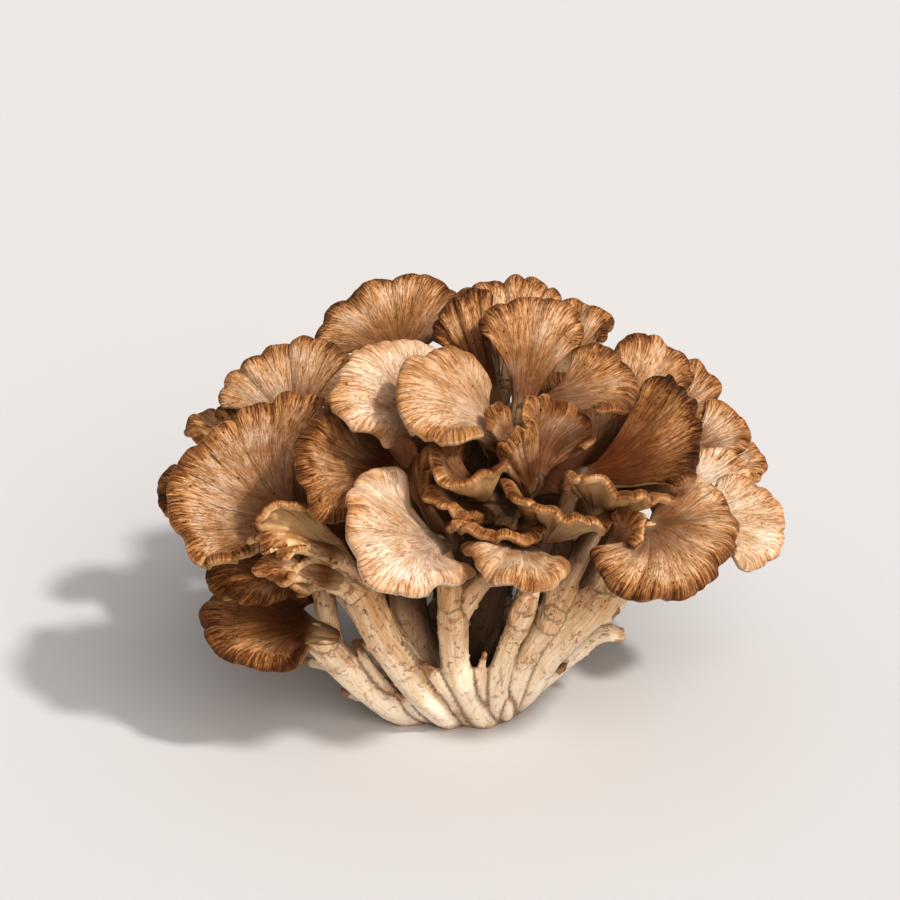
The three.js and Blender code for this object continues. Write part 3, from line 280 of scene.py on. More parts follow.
def rear_fronds():
    """The fronds of the far side: each tier's rims droop in an arc round the cluster."""
    made = []
    for tier in REAR_TIERS:
        for k, (bearing, radius, height) in enumerate(tier["places"]):
            middle = math.radians(bearing)
            rim = []
            for share in (-1, -0.5, 0, 0.5, 1):
                angle = math.radians(bearing - share * tier["half_angle"])
                reach = radius * (1 - 0.1 * share * share)
                rim.append((reach * REAR_STRETCH[0] * math.cos(angle),
                            reach * REAR_STRETCH[1] * math.sin(angle),
                            height + tier["tilt"] * share - tier["droop"] * share * share))
            neck = (tier["neck_radius"] * math.cos(middle), tier["neck_radius"] * math.sin(middle),
                    tier["neck_height"])
            foot = [(r * math.cos(middle), r * math.sin(middle), z)
                    for r, z in ((FOOT_START, 6), (FOOT_START + 4, 8))]
            stem = {"rear_high": "crown",
                    "rear_middle": next(name for limit, name in REAR_STALKS if bearing < limit)}
            made.append(dict(name=f"{tier['name']}_{k + 1}", stem=stem.get(tier["name"]), foot=foot,
                             neck=neck, rim=rim, belly=tier["belly"], lip=tier["lip"], lobes=4))
    return made


def rear_stubs():
    """Blunt shoots round the far side of the butt."""
    made = []
    for k, bearing in enumerate((15, 48, 80, 104, 135, 172)):
        angle = math.radians(bearing)
        out = 34 + 8 * float(chance(k, 5))
        rise = 9 + 14 * float(chance(k, 6))
        path = [(r * math.cos(angle), r * math.sin(angle), z)
                for r, z in ((14, 3), (0.7 * out, 0.55 * rise), (out, rise))]
        made.append((path, [4.2, 3.4, 2.6]))
    return made


# ---- Noise ----
def chance(n, seed):
    """The same number, 0 to 1, each time for the same n and seed."""
    wild = np.sin(np.asarray(n, float) * 12.9898 + seed * 78.233) * 43758.5453
    return wild - np.floor(wild)


def drift(x, seed):
    """Smooth noise along a line, -1 to 1, with a step of about 1."""
    k = np.floor(x)
    u = x - k
    u = u * u * (3 - 2 * u)
    return 2 * (chance(k, seed) * (1 - u) + chance(k + 1, seed) * u) - 1


def patches(x, y, seed):
    """Smooth noise over a plane, -1 to 1."""
    row = np.floor(y)
    u = y - row
    u = u * u * (3 - 2 * u)
    return drift(x + 31.7 * row, seed) * (1 - u) + drift(x + 31.7 * (row + 1), seed) * u


def ramp(low, high, x):
    """0 below low, 1 above high, smooth between."""
    u = np.clip((x - low) / (high - low), 0, 1)
    return u * u * (3 - 2 * u)


def size_of(v):
    return np.linalg.norm(v, axis=-1)


def unit(v):
    return v / np.maximum(size_of(v), 1e-9)[..., None]


def links_of(route):
    """The length of each step along a route."""
    return size_of(np.diff(route, axis=0))


# ---- Meshes ----
@contextmanager
def reworked(mesh):
    """A mesh's bmesh, which is put back when the work on it is done."""
    bm = bmesh.new()
    bm.from_mesh(mesh)
    yield bm
    bm.to_mesh(mesh)
    bm.free()


def store(mesh, **values):
    """Stores what the material reads at each point: a number, or three."""
    for key, value in values.items():
        kind, field = ("FLOAT_VECTOR", "vector") if value.ndim == 2 else ("FLOAT", "value")
        mesh.attributes.new(key, kind, "POINT").data.foreach_set(field, value.ravel())


def wrapped_sheet(name, points, values=None):
    """A closed skin made of a bmesh grid. points holds each row's positions in mm, and values what the
    material reads there; points that fall together are merged."""
    rows, columns = points.shape[:2]
    mesh = bpy.data.meshes.new(name)
    with reworked(mesh) as bm:
        bmesh.ops.create_grid(bm, x_segments=columns - 1, y_segments=rows - 1, size=0.5)
    at = np.empty(len(mesh.vertices) * 3)
    mesh.vertices.foreach_get("co", at)
    at = at.reshape(-1, 3)
    column = np.rint((at[:, 0] + 0.5) * (columns - 1)).astype(int)
    row = np.rint((at[:, 1] + 0.5) * (rows - 1)).astype(int)
    mesh.vertices.foreach_set("co", (points[row, column] * MM).ravel())
    store(mesh, **{key: value[row, column] for key, value in (values or {}).items()})
    with reworked(mesh) as bm:
        bmesh.ops.remove_doubles(bm, verts=bm.verts, dist=MERGE)
        bmesh.ops.dissolve_degenerate(bm, edges=bm.edges, dist=MERGE / 20)
        bmesh.ops.recalc_face_normals(bm, faces=bm.faces)
    return mesh


def add_object(name, data):
    """A new object in the scene."""
    thing = bpy.data.objects.new(name, data)
    bpy.context.scene.collection.objects.link(thing)
    return thing


def show(mesh, slot, material, *nodes):
    """Puts a finished mesh in the scene as a piece of the cluster."""
    mesh.materials.clear()
    mesh.materials.append(material)
    for polygon in mesh.polygons:
        polygon.use_smooth = True
    piece = add_object(mesh.name, mesh)
    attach(piece, "root")
    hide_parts(*nodes)


# ---- Fronds ----
def prepare(entry, index):
    """A frond's entry with what its blade is worked out from: the rim's curve, its axes and its lobes."""
    f = {**FROND_DEFAULTS, **entry, "seed": index + 1}
    f["neck"] = np.array(f["neck"], float)
    points = np.array(f["rim"], float)
    lengths = links_of(points)
    shares = np.concatenate([[0], np.cumsum(lengths) / lengths.sum()])
    slopes = np.empty_like(points)
    slopes[1:-1] = (points[2:] - points[:-2]) / (shares[2:] - shares[:-2])[:, None]
    slopes[0] = (points[1] - points[0]) / (shares[1] - shares[0])
    slopes[-1] = (points[-1] - points[-2]) / (shares[-1] - shares[-2])
    f.update(rim_points=points, rim_shares=shares, rim_slopes=slopes, rim_length=lengths.sum())
    f["size"] = min(1.0, size_of(points - f["neck"]).mean() / FULL_REACH)
    f["calm"] = 1.0 * (f["name"] in CALM)
    f["outward"] = unit(rim_at(f, np.array(0.5)) - f["neck"])
    across = rim_at(f, np.array(1.0)) - rim_at(f, np.array(0.0))
    f["across"] = unit(across - f["outward"] * (across @ f["outward"]))
    if "notches" in f:
        shares, depths = np.array(f["notches"], float).T
        f["lobes"] = len(shares) + 1
        depths = np.concatenate([[0.4], depths, [0.4]])
    else:
        k = np.arange(1, f["lobes"])
        shares = (k + 0.7 * (chance(k, f["seed"]) - 0.5)) / f["lobes"]
        depths = 0.3 + 1.1 * chance(np.arange(f["lobes"] + 1) + 20, f["seed"]) ** 2
    f["borders"] = np.concatenate([[0], shares, [1]])
    f["depths"] = depths
    return f


def rim_at(f, t):
    """The smooth curve through the rim points, from t = 0 to t = 1."""
    p, at, slope = f["rim_points"], f["rim_shares"], f["rim_slopes"]
    i = np.clip(np.searchsorted(at, t, side="left") - 1, 0, len(at) - 2)
    step = (at[i + 1] - at[i])[..., None]
    u = (t - at[i])[..., None] / step
    return (p[i] * (2 * u**3 - 3 * u**2 + 1) + slope[i] * step * (u**3 - 2 * u**2 + u)
            + p[i + 1] * (3 * u**2 - 2 * u**3) + slope[i + 1] * step * (u**3 - u**2))


def lobe_at(f, t):
    """How far the rim stands out in its lobe, the lobe's depth, and its reach."""
    b = f["borders"]
    k = np.clip(np.searchsorted(b, t, side="left") - 1, 0, f["lobes"] - 1)
    share = np.clip((t - b[k]) / (b[k + 1] - b[k]), 0, 1)
    bump = np.sin(math.pi * share) ** 0.6
    before, after = f["depths"][k], f["depths"][k + 1]
    return bump, before + (after - before) * share, chance(k + 40, f["seed"]) - 0.5


def fan_at(f, s, t):
    """The bare fan: neck at s = 0, rim at s = 1."""
    ray = rim_at(f, 0.5 + (t - 0.5) * s ** f["widen"]) - f["neck"]
    return f["neck"] + ray * s[..., None] + f["across"] * (NECK_WIDTH * (t - 0.5) * (1 - s))[..., None]


def fan_normal(f, s, t):
    """The direction that the fan's upper face looks in."""
    h = 0.02
    s0 = np.maximum(s, 0.1)
    across = fan_at(f, s0, np.minimum(1, t + h)) - fan_at(f, s0, np.maximum(0, t - h))
    outward = fan_at(f, np.minimum(1, s0 + h), t) - fan_at(f, s0 - h, t)
    return unit(np.cross(across, outward))


def blade_at(f, s, t):
    """The blade's middle surface, with its lobes, belly, ruffles and pleats."""
    bump, depth, reach = lobe_at(f, t)
    seed = f["seed"]
    radius = size_of(rim_at(f, 0.5 + (t - 0.5) * s ** f["widen"]) - f["neck"])
    along = t * f["rim_length"]
    shorten = f["cut"] * (0.5 * reach * bump - 1.6 * (1 - bump) * depth) * s * s
    size = f["size"]
    shorten = shorten + size * ramp(0.6, 1, s) * (0.55 * drift(along / 3.1, seed + 3)
                                                  + 0.28 * drift(along / 1.4, seed + 5)) / radius
    point = fan_at(f, s, t)
    point = point + (point - f["neck"]) * shorten[..., None]
    edge = 1 - np.abs(2 * t - 1) ** 3
    turn = math.pi * t * f["waves"]
    ruffle = np.sin(2 * turn + seed * 1.7) + 0.4 * np.sin(4.7 * turn + seed * 3.1)
    lift = (f["belly"] * np.sin(math.pi * s) * (0.45 + 0.55 * edge) + f["wave"] * s * s * ruffle
            + f["cut"] * 0.9 * s**1.5 * (bump - 0.65) * depth
            - f["lip"] * np.maximum(0, (s - 0.8) / 0.2) ** 2) * radius
    pleats = 0.3 * drift(along / 4.7, seed + 11) + 0.15 * drift(along / 1.9, seed + 13)
    swells = 0.8 * patches(along / 12, s * radius / 11, seed + 17)
    rolled = ramp(0.84, 1, s)
    crimp = (0.7 - 0.35 * f["calm"]) * rolled * drift(along / 6, seed + 19) - 0.9 * rolled * rolled
    lift = lift + size * (pleats * ramp(0.25, 0.85, s) + swells * ramp(0.1, 0.5, s) + crimp)
    return point + fan_normal(f, s, t) * lift[..., None]


def frond_mesh(f):
    """One frond: its upper face, its rolled rim, its underside and the neck inside its twig."""
    per_lobe = max(9, min(16, round(BLADE_COLUMNS / f["lobes"])))
    share = (1 - np.cos(math.pi * np.arange(per_lobe) / per_lobe)) / 2
    b = f["borders"]
    t_line = np.concatenate([*(b[k] + (b[k + 1] - b[k]) * share for k in range(f["lobes"])), [1.0]])
    s_line = np.linspace(0, 1, BLADE_ROWS) ** 0.85
    s, t = np.meshgrid(s_line, t_line, indexing="ij")
    along = t * f["rim_length"]
    seed = f["seed"]

    swell = LIP_SWELL * (1 - 0.6 * f["calm"]) * (1 + 0.35 * drift(along / 3.1, seed + 23))
    reach = size_of(rim_at(f, t) - f["neck"])
    inset = s * (1 - (FROND_HALF + swell) / reach)
    middle = blade_at(f, inset, t)
    run = s * reach
    half = FROND_HALF + (NECK_HALF - FROND_HALF) * (1 - ramp(0, 17 * f["size"], run))
    half = half + swell * ramp(-5, -1.2, run - reach)
    width = size_of(np.diff(middle, axis=1)).sum(axis=1, keepdims=True)
    side = np.minimum(t, 1 - t) / np.clip(1.1 * half / width, 1e-3, 0.5)
    half = half * np.sqrt(np.clip(1 - (1 - np.minimum(side, 1)) ** 2, 0, 1))

    outward = unit(np.gradient(middle, axis=0))
    normal = unit(np.cross(np.gradient(middle, axis=1), outward))
    normal[0] = normal[2]
    normal[1] = normal[2]

    shell, fan, edge, upper = [], [], [], []
    zero = np.zeros(len(t_line))

    def add(points, run_mm, edge_mm, share_up):
        shell.append(points)
        fan.append(np.stack([along[0], zero + run_mm, zero + seed * 7.3], axis=-1))
        edge.append(zero + edge_mm)
        upper.append(zero + share_up)

    def neck_rows(way):
        """The neck's rows on one side, from its blunt end, each with how far it lies behind s = 0."""
        for back, size in ((1.0, 0.0), (0.93, 0.42), (0.7, 0.68), (0.35, 0.86)):
            base = f["neck"] + f["across"] * (NECK_WIDTH * (t[0] - 0.5) * size)[:, None]
            yield (base - f["outward"] * (back * NECK_BACK) + normal[0] * (way * half[0] * size)[:, None],
                   -back * NECK_BACK)

    quarter = half[-1] * math.pi / 2
    for points, run_mm in neck_rows(1):
        add(points, run_mm, reach[0] - run_mm, 1.0)
    for i in range(len(s_line)):
        add(middle[i] + normal[i] * half[i][:, None], run[i], reach[0] - run[i] + quarter, 1.0)
    for degrees in np.linspace(90, -90, 11)[1:-1]:
        angle = math.radians(degrees)
        over = outward[-1] * math.cos(angle) + normal[-1] * math.sin(angle)
        add(middle[-1] + over * half[-1][:, None], run[-1], half[-1] * angle, float(ramp(-55, 5, degrees)))
    for i in reversed(range(len(s_line))):
        add(middle[i] - normal[i] * half[i][:, None], run[i], run[i] - reach[0] - quarter, 0.0)
    for points, run_mm in reversed([*neck_rows(-1)]):
        add(points, run_mm, run_mm - reach[0], 0.0)

    bump, depth, _ = lobe_at(f, t[0])
    edge = np.array(edge)
    values = dict(fan=np.array(fan), edge=edge, upper=np.array(upper),
                  notch=np.zeros_like(edge) + (1 - bump) * depth,
                  tone=np.full_like(edge, TONES.get(f["name"], USUAL_TONE)),
                  calm=np.full_like(edge, f["calm"]))
    return wrapped_sheet(f["name"] + "_blade", np.array(shell), values)


# ---- Stalks ----
def smooth_route(path):
    """Dense points of a centripetal Catmull-Rom curve through a stalk's path."""
    p = [np.array(q, float) for q in path]
    p = [2 * p[0] - p[1], *p, 2 * p[-1] - p[-2]]
    u = np.linspace(0, 1, 24, endpoint=False)[:, None]
    dense = []
    for a, b, c, d in zip(p, p[1:], p[2:], p[3:]):
        before, during, after = np.sqrt(links_of([a, b, c, d]))
        leave = ((b - a) / before - (c - a) / (before + during) + (c - b) / during) * during
        arrive = ((c - b) / during - (d - b) / (during + after) + (d - c) / after) * during
        dense.append(b * (2 * u**3 - 3 * u**2 + 1) + leave * (u**3 - 2 * u**2 + u)
                     + c * (3 * u**2 - 2 * u**3) + arrive * (u**3 - u**2))
    return np.concatenate([*dense, p[-2][None]])


def twig_route(f):
    """From the stalk's fork to a frond's neck."""
    route = np.array(STALKS[f["stem"]][0] if f.get("stem") else f["foot"], float)
    leave = unit(route[-1] - route[-2])
    start = route[-1] - leave * TWIG_RUN_BACK
    straight = f["neck"] - start
    handle = size_of(straight) / 3
    straight = unit(straight)
    first = start + unit(leave * (1 - TWIG_EASE) + straight * TWIG_EASE) * handle
    second = f["neck"] - (f["outward"] * (1 - TWIG_EASE) + straight * TWIG_EASE) * handle
    u = np.linspace(0, 1, 40)[:, None]
    return (start * (1 - u) ** 3 + 3 * first * u * (1 - u) ** 2 + 3 * second * u**2 * (1 - u)
            + f["neck"] * u**3)


def even_steps(route, count):
    """Points at even steps along a route, and how far along each one is."""
    run = np.concatenate([[0], np.cumsum(links_of(route))])
    at = np.linspace(0, run[-1], count)
    return np.stack([np.interp(at, run, route[:, k]) for k in range(3)], axis=1), at


def tube(name, route, radii, seed, blunt):
    """A round stalk along a route, and the samples of its middle line that its grain follows."""
    count = max(10, int(links_of(route).sum() / STALK_STEP))
    centre, at = even_steps(route, count)
    tangent = unit(np.gradient(centre, axis=0))
    side = np.empty_like(centre)
    side[0] = unit(np.cross(tangent[0], (0.13, 0.97, 0.21)))
    for i in range(1, count):
        side[i] = unit(side[i - 1] - tangent[i] * (side[i - 1] @ tangent[i]))
    other = np.cross(tangent, side)
    radius = np.interp(np.linspace(0, 1, count), np.linspace(0, 1, len(radii)), radii)

    angle = np.linspace(0, 2 * math.pi, STALK_SIDES + 1)
    cos, sin = np.cos(angle), np.sin(angle)
    lumps = 1 + 0.07 * patches(2.2 * cos + 5, 2.2 * sin + at[:, None] / 9, seed)
    ring = side[:, None] * cos[:, None] + other[:, None] * sin[:, None]
    skin = centre[:, None] + ring * (radius[:, None] * lumps)[..., None]
    ends = [np.array([centre[i] + tangent[i] * way * radius[i] * blunt * math.sin(a)
                      + ring[i] * (radius[i] * math.cos(a) * lumps[i])[:, None]
                      for a in np.radians((35, 65, 90))])
            for i, way in ((0, -1), (-1, 1))]
    rows = np.concatenate([ends[0][::-1], skin, ends[1]])
    return wrapped_sheet(name, rows), dict(centre=centre, tangent=tangent, side=side, other=other,
                                           radius=radius, at=at)


def butt_mesh():
    """The solid heart of the foot, spun from its profile."""
    r = BUTT_RADIUS
    profile = [(0, -4), (0.86 * r, -4), (0.98 * r, 4), (0.94 * r, 14), (0.6 * r, 26), (0, BUTT_HEIGHT)]
    angle = np.linspace(0, 2 * math.pi, BUTT_SIDES + 1)
    rows = np.array([[(x * math.cos(a), x * math.sin(a), z) for a in angle] for x, z in profile])
    return wrapped_sheet("butt", rows)


def fused(meshes, name):
    """Many closed meshes grown into one skin, cut flat at the ground."""
    whole = bpy.data.meshes.new(name)
    with reworked(whole) as bm:
        for mesh in meshes:
            bm.from_mesh(mesh)
    blank = add_object(name, whole)
    remesh = blank.modifiers.new("fuse", "REMESH")
    remesh.mode = "VOXEL"
    remesh.voxel_size = FUSE_VOXEL * MM
    remesh.use_smooth_shade = True
    grown = bpy.data.meshes.new_from_object(blank.evaluated_get(bpy.context.evaluated_depsgraph_get()))
    bpy.data.objects.remove(blank)
    with reworked(grown) as bm:
        for _ in range(3):
            bmesh.ops.smooth_vert(bm, verts=bm.verts, factor=0.5, use_axis_x=True, use_axis_y=True,
                                  use_axis_z=True)
        bmesh.ops.bisect_plane(bm, geom=[*bm.verts, *bm.edges, *bm.faces], plane_co=(0, 0, 0),
                               plane_no=(0, 0, -1), clear_outer=True)
        bmesh.ops.holes_fill(bm, edges=[e for e in bm.edges if e.is_boundary], sides=0)
        bmesh.ops.recalc_face_normals(bm, faces=bm.faces)
    grown.name = name
    return grown


def stalk_cluster(fronds):
    """Butt, stalks, twigs and stubs as one piece, with a lengthwise grain that each stalk carries."""
    routes = [(smooth_route(path), radii, 0) for path, radii in STALKS.values()]
    routes += [(twig_route(f), TWIG_RADII, 0) for f in fronds]
    routes += [(smooth_route(path), radii, 1) for path, radii in [*STUBS, *rear_stubs()]]
    meshes, lines = [butt_mesh()], []
    for k, (route, radii, stub) in enumerate(routes):
        mesh, line = tube(f"tube_{k}", route, radii, k + 3, STUB_END if stub else STALK_END)
        line["stub"] = np.full(len(line["at"]), stub * 1.0)
        line["left"] = line["at"][-1] - line["at"]
        line["number"] = np.full(len(line["at"]), k * 1.0)
        meshes.append(mesh)
        lines.append(line)
    grown = fused(meshes, "stalks")

    every = {key: np.concatenate([line[key] for line in lines]) for key in lines[0]}
    # Each vertex takes its grain from the stalk it lies deepest in, and gets painted shade in clefts
    # where a second stalk is nearly as deep.
    tree = KDTree(len(every["at"]))
    for i, at in enumerate(every["centre"]):
        tree.insert(at, i)
    tree.balance()
    count = len(grown.vertices)
    points = np.empty(count * 3)
    grown.vertices.foreach_get("co", points)
    points = points.reshape(-1, 3) / MM
    nearest = np.empty(count, int)
    cleft = np.zeros(count)
    radius, number = every["radius"].tolist(), every["number"].tolist()
    for i, p in enumerate(points):
        depths = {}
        for _, k, distance in tree.find_n(p, NEAR_SAMPLES):
            depth = distance - radius[k]
            if depth < depths.get(number[k], (math.inf, 0))[0]:
                depths[number[k]] = (depth, k)
        first, *others = sorted(depths.values())
        nearest[i] = first[1]
        cleft[i] = max(0, 1 - (others[0][0] - first[0]) / CLEFT_SHADE_WIDTH) if others else 0
    line = {key: value[nearest] for key, value in every.items()}
    off = points - line["centre"]
    angle = np.arctan2((off * line["other"]).sum(1), (off * line["side"]).sum(1))
    around = angle * line["radius"]
    along = line["at"] + (off * line["tangent"]).sum(1)

    turn = np.stack([np.cos(angle), np.sin(angle)]) * line["radius"]
    grain = sum(deep * patches(turn[0] / wide + 3 * line["number"], turn[1] / wide + along / long, 41)
                for wide, long, deep in ((2.4, 15, 0.34), (1.2, 8, 0.16)))
    knots = 0.6 * ramp(0.5, 0.9, patches(around / 2.2 + 9 * line["number"], along / 2.6, 77))
    normals = np.empty(count * 3)
    grown.vertices.foreach_get("normal", normals)
    torn = patches(angle * 1.8 + 5 * line["number"], along / 4, 51)
    torn = torn * line["stub"] * (1 - ramp(0, 4, line["left"]))
    shift = (grain + knots + 0.6 * torn) * ramp(0.6, 4, points[:, 2])
    points = points + normals.reshape(-1, 3) * shift[:, None]
    grown.vertices.foreach_set("co", (points * MM).ravel())
    tip = line["stub"] * (1 - ramp(0, 5, line["left"] - (off * line["tangent"]).sum(1)))
    cleft = cleft * (1 - ramp(*CLEFT_SHADE_FADE, points[:, 2]))
    flow = np.stack([around, along, 3.7 * line["number"]], axis=1)
    store(grown, fan=flow, tip=tip, knot=knots, cleft=cleft)
    grown.update()
    return grown


# ---- Materials ----
def srgb(red, green, blue):
    """A colour as linear values, from its 0 to 255 screen values."""
    return (*((c / 255) ** 2.2 for c in (red, green, blue)), 1.0)


class Sheet:
    """A node tree, with short words for the nodes that it needs."""

    def __init__(self, tree):
        self.tree = tree

    def put(self, kind, settings=None, **sockets):
        node = self.tree.nodes.new(kind)
        for key, value in (settings or {}).items():
            setattr(node, key, value)
        for key, value in sockets.items():
            socket = node.inputs[int(key[1:]) if key[1:].isdigit() else key.replace("_", " ")]
            if isinstance(value, bpy.types.NodeSocket):
                self.tree.links.new(value, socket)
            else:
                socket.default_value = value
        return node

    def read(self, name, output="Fac"):
        return self.put("ShaderNodeAttribute", dict(attribute_name=name)).outputs[output]

    def maths(self, what, a, b=0.0, c=0.0):
        return self.put("ShaderNodeMath", dict(operation=what), _0=a, _1=b, _2=c).outputs[0]

    def plus(self, a, b):
        return self.maths("ADD", a, b)

    def minus(self, a, b):
        return self.maths("SUBTRACT", a, b)

    def times(self, a, b):
        return self.maths("MULTIPLY", a, b)

    def line(self, value, gain, shift):
        """value times gain, plus shift."""
        return self.maths("MULTIPLY_ADD", value, gain, shift)

    def scaled(self, vector, by):
        return self.put("ShaderNodeVectorMath", dict(operation="MULTIPLY"), _0=vector, _1=by).outputs[0]

    def noise(self, vector, scale=1.0, detail=2.0, rough=0.5, warp=0.0):
        node = self.put("ShaderNodeTexNoise", Vector=vector, Scale=scale, Detail=detail, Roughness=rough,
                        Distortion=warp)
        return node.outputs[0]

    def grain(self, flow, across, along, *look):
        """Noise drawn out along the way the flesh grew."""
        return self.noise(self.scaled(flow, (across, along, 1.0)), 1.0, *look)

    def step(self, value, low, high, to_low=0.0, to_high=1.0):
        node = self.put("ShaderNodeMapRange", dict(interpolation_type="SMOOTHSTEP"), Value=value)
        for index, number in zip((1, 2, 3, 4), (low, high, to_low, to_high)):
            node.inputs[index].default_value = number
        return node.outputs[0]

    def blend(self, share, a, b):
        return self.put("ShaderNodeMix", dict(data_type="RGBA"), _0=share, _6=a, _7=b).outputs[2]

    def scale_of(self, value, stops):
        node = self.put("ShaderNodeValToRGB", Fac=value)
        band = node.color_ramp
        while len(band.elements) < len(stops):
            band.elements.new(0.5)
        for element, (at, colour) in zip(band.elements, stops):
            element.position = at
            element.color = colour
        return node.outputs[0]


def group(name, inputs, outputs):
    """An empty node group, with its sheet and the sockets of its two ends."""
    tree = bpy.data.node_groups.new(name, "ShaderNodeTree")
    for socket, default in inputs.items():
        made = tree.interface.new_socket(socket, in_out="INPUT", socket_type="NodeSocketFloat")
        made.default_value = default
    for socket, kind in outputs.items():
        tree.interface.new_socket(socket, in_out="OUTPUT", socket_type=kind)
    entry = tree.nodes.new("NodeGroupInput")
    leave = tree.nodes.new("NodeGroupOutput")
    return tree, Sheet(tree), entry.outputs, leave.inputs


# Browns of the upper face, from the darkest to the palest.
FLESH = [(0.0, srgb(56, 31, 12)), (0.25, srgb(112, 71, 35)), (0.5, srgb(176, 130, 86)),
         (0.75, srgb(216, 184, 156)), (1.0, srgb(242, 228, 212))]
# The crowded heart of the cluster, an egg-shaped space in metres, toward whose middle the fronds get painted
# shade.
PAINTED_SHADE_CENTRE = (0, 0, 0.045)
PAINTED_SHADE_RADII = (0.085, 0.078, 0.075)


def frond_skin():
    """The skin of a frond: wrinkles and fibres that fan out from the neck, a dark rolled rim with a
    pale edge, specks, a cream underside full of fine pores, and painted shade toward its neck and
    toward the middle of the cluster."""
    tree, s, given, result = group(
        "frond_skin", {"Paleness": 0.5, "Rim Dark": 1.0, "Fibre": 1.0},
        {"Color": "NodeSocketColor", "Roughness": "NodeSocketFloat", "Height": "NodeSocketFloat"})
    fan = s.read("fan", "Vector")
    place = s.put("ShaderNodeTexCoord").outputs["Object"]
    edge, upper, notch, tone, calm = (s.read(name) for name in ("edge", "upper", "notch", "tone", "calm"))
    broad = s.grain(fan, 0.42, 0.07, 3.0, 0.6, 0.35)
    thin = s.grain(fan, 2.6, 0.24, 3.0, 0.7, 0.5)
    crease = s.grain(fan, 1.25, 0.17, 2.0, 0.5, 0.7)
    cloud = s.noise(place, 85.0, 4.0, 0.6, 0.3)
    fine = s.noise(place, 900.0, 3.0, 0.7)
    dots = s.put("ShaderNodeTexVoronoi", Vector=place, Scale=330.0)
    pores = s.put("ShaderNodeTexVoronoi", dict(feature="DISTANCE_TO_EDGE"), Vector=place,
                  Scale=2300.0).outputs[0]

    # Fibres and creases show most over the outer half; the heart of a blade is smoother.
    lively = s.line(s.times(calm, s.step(edge, 2.0, 6.0, 0.3, 1.0)), -0.5, 1.0)
    outer = s.times(s.step(edge, 30.0, 6.0, 0.3, 1.0), lively)
    lines = s.step(s.maths("ABSOLUTE", s.minus(crease, 0.5)), 0.0, 0.045, 1.0, 0.0)
    fibre = s.plus(s.line(broad, 0.8, -0.4), s.line(thin, 1.5, -0.75))
    fibre = s.times(s.times(fibre, outer), given["Fibre"])
    value = s.line(tone, 0.5, 0.38)
    value = s.plus(value, s.line(given["Paleness"], 0.36, -0.18))
    value = s.plus(value, fibre)
    value = s.plus(value, s.line(cloud, 0.7, -0.35))
    value = s.plus(value, s.line(fine, 0.3, -0.15))
    value = s.minus(value, s.times(s.times(lines, outer), 0.13))
    ragged = s.plus(edge, s.line(thin, 7.0, -3.5))
    band = s.times(s.times(s.step(ragged, 7.0, 1.4), given["Rim Dark"]), lively)
    value = s.minus(value, s.times(band, 0.3))
    value = s.plus(value, s.times(s.step(s.maths("ABSOLUTE", edge), 0.9, 0.3), 0.16))
    value = s.minus(value, s.times(s.step(notch, 0.3, 1.1), 0.1))
    lot = s.put("ShaderNodeSeparateColor", Color=dots.outputs["Color"]).outputs[0]
    speck = s.times(s.step(dots.outputs["Distance"], 0.13, 0.07), s.step(lot, 0.62, 0.66))
    value = s.minus(value, s.times(speck, 0.35))
    brown = s.scale_of(value, FLESH)
    # Painted shade: toward the neck the upper face is darkened, as where shade falls deep in the funnel;
    # paler fronds get less of it.
    run = s.put("ShaderNodeSeparateXYZ", Vector=fan).outputs[1]
    inward = s.maths("DIVIDE", edge, s.plus(edge, s.maths("MAXIMUM", run, 0.5)))
    painted_throat_shade = s.times(s.step(inward, 0.22, 0.86), s.line(given["Paleness"], -1.6, 1.52))
    brown = s.blend(painted_throat_shade, brown, srgb(96, 53, 20))
    cream = s.scale_of(s.plus(s.times(thin, 0.5), s.times(cloud, 0.5)),
                       [(0.25, srgb(178, 138, 92)), (0.5, srgb(214, 182, 140)), (0.75, srgb(234, 210, 176))])
    under = s.blend(s.step(pores, 0.0, 0.14, 0.35, 0.0), cream, srgb(156, 114, 70))
    brown = s.blend(s.step(run, 6.0, 0.0, 0.0, 0.8), brown, cream)
    colour = s.blend(upper, under, brown)
    # Painted shade: the fronds are darkened toward the heart of the cluster, where shade falls among them.
    from_shade_centre = s.put("ShaderNodeVectorMath", dict(operation="SUBTRACT"), _0=place, _1=PAINTED_SHADE_CENTRE).outputs[0]
    share = s.put("ShaderNodeVectorMath", dict(operation="LENGTH"),
                  _0=s.scaled(from_shade_centre, tuple(1 / r for r in PAINTED_SHADE_RADII))).outputs["Value"]
    colour = s.blend(s.step(share, 0.92, 0.6, 0.0, 0.68), colour, srgb(104, 58, 22))
    rough = s.line(thin, 0.3, 0.36)
    relief = s.plus(s.times(thin, 0.9), s.times(broad, 0.7))
    relief = s.minus(relief, s.times(lines, 0.5))
    relief = s.times(relief, s.line(outer, 0.7, 0.3))
    relief = s.plus(relief, s.times(fine, 0.3))
    relief = s.plus(s.times(relief, upper), s.times(s.step(pores, 0.0, 0.25), 0.15))
    tree.links.new(colour, result["Color"])
    tree.links.new(rough, result["Roughness"])
    tree.links.new(relief, result["Height"])
    return tree


def new_material(name):
    material = bpy.data.materials.new(name)
    material.use_nodes = True
    material.node_tree.nodes.clear()
    return material, Sheet(material.node_tree)


def finish_flesh(s, colour, rough, height):
    """The shader of the mushroom's flesh: dull, a little see-through and faintly moist."""
    bump = s.put("ShaderNodeBump", Height=height, Strength=0.9, Distance=0.0006)
    shader = s.put("ShaderNodeBsdfPrincipled", Base_Color=colour, Roughness=rough, Normal=bump.outputs[0])
    shader.inputs["Subsurface Weight"].default_value = 0.14
    shader.inputs["Subsurface Radius"].default_value = (1.0, 0.4, 0.14)
    shader.inputs["Subsurface Scale"].default_value = 0.0014
    shader.inputs["Specular IOR Level"].default_value = 0.38
    s.put("ShaderNodeOutputMaterial", Surface=shader.outputs[0])


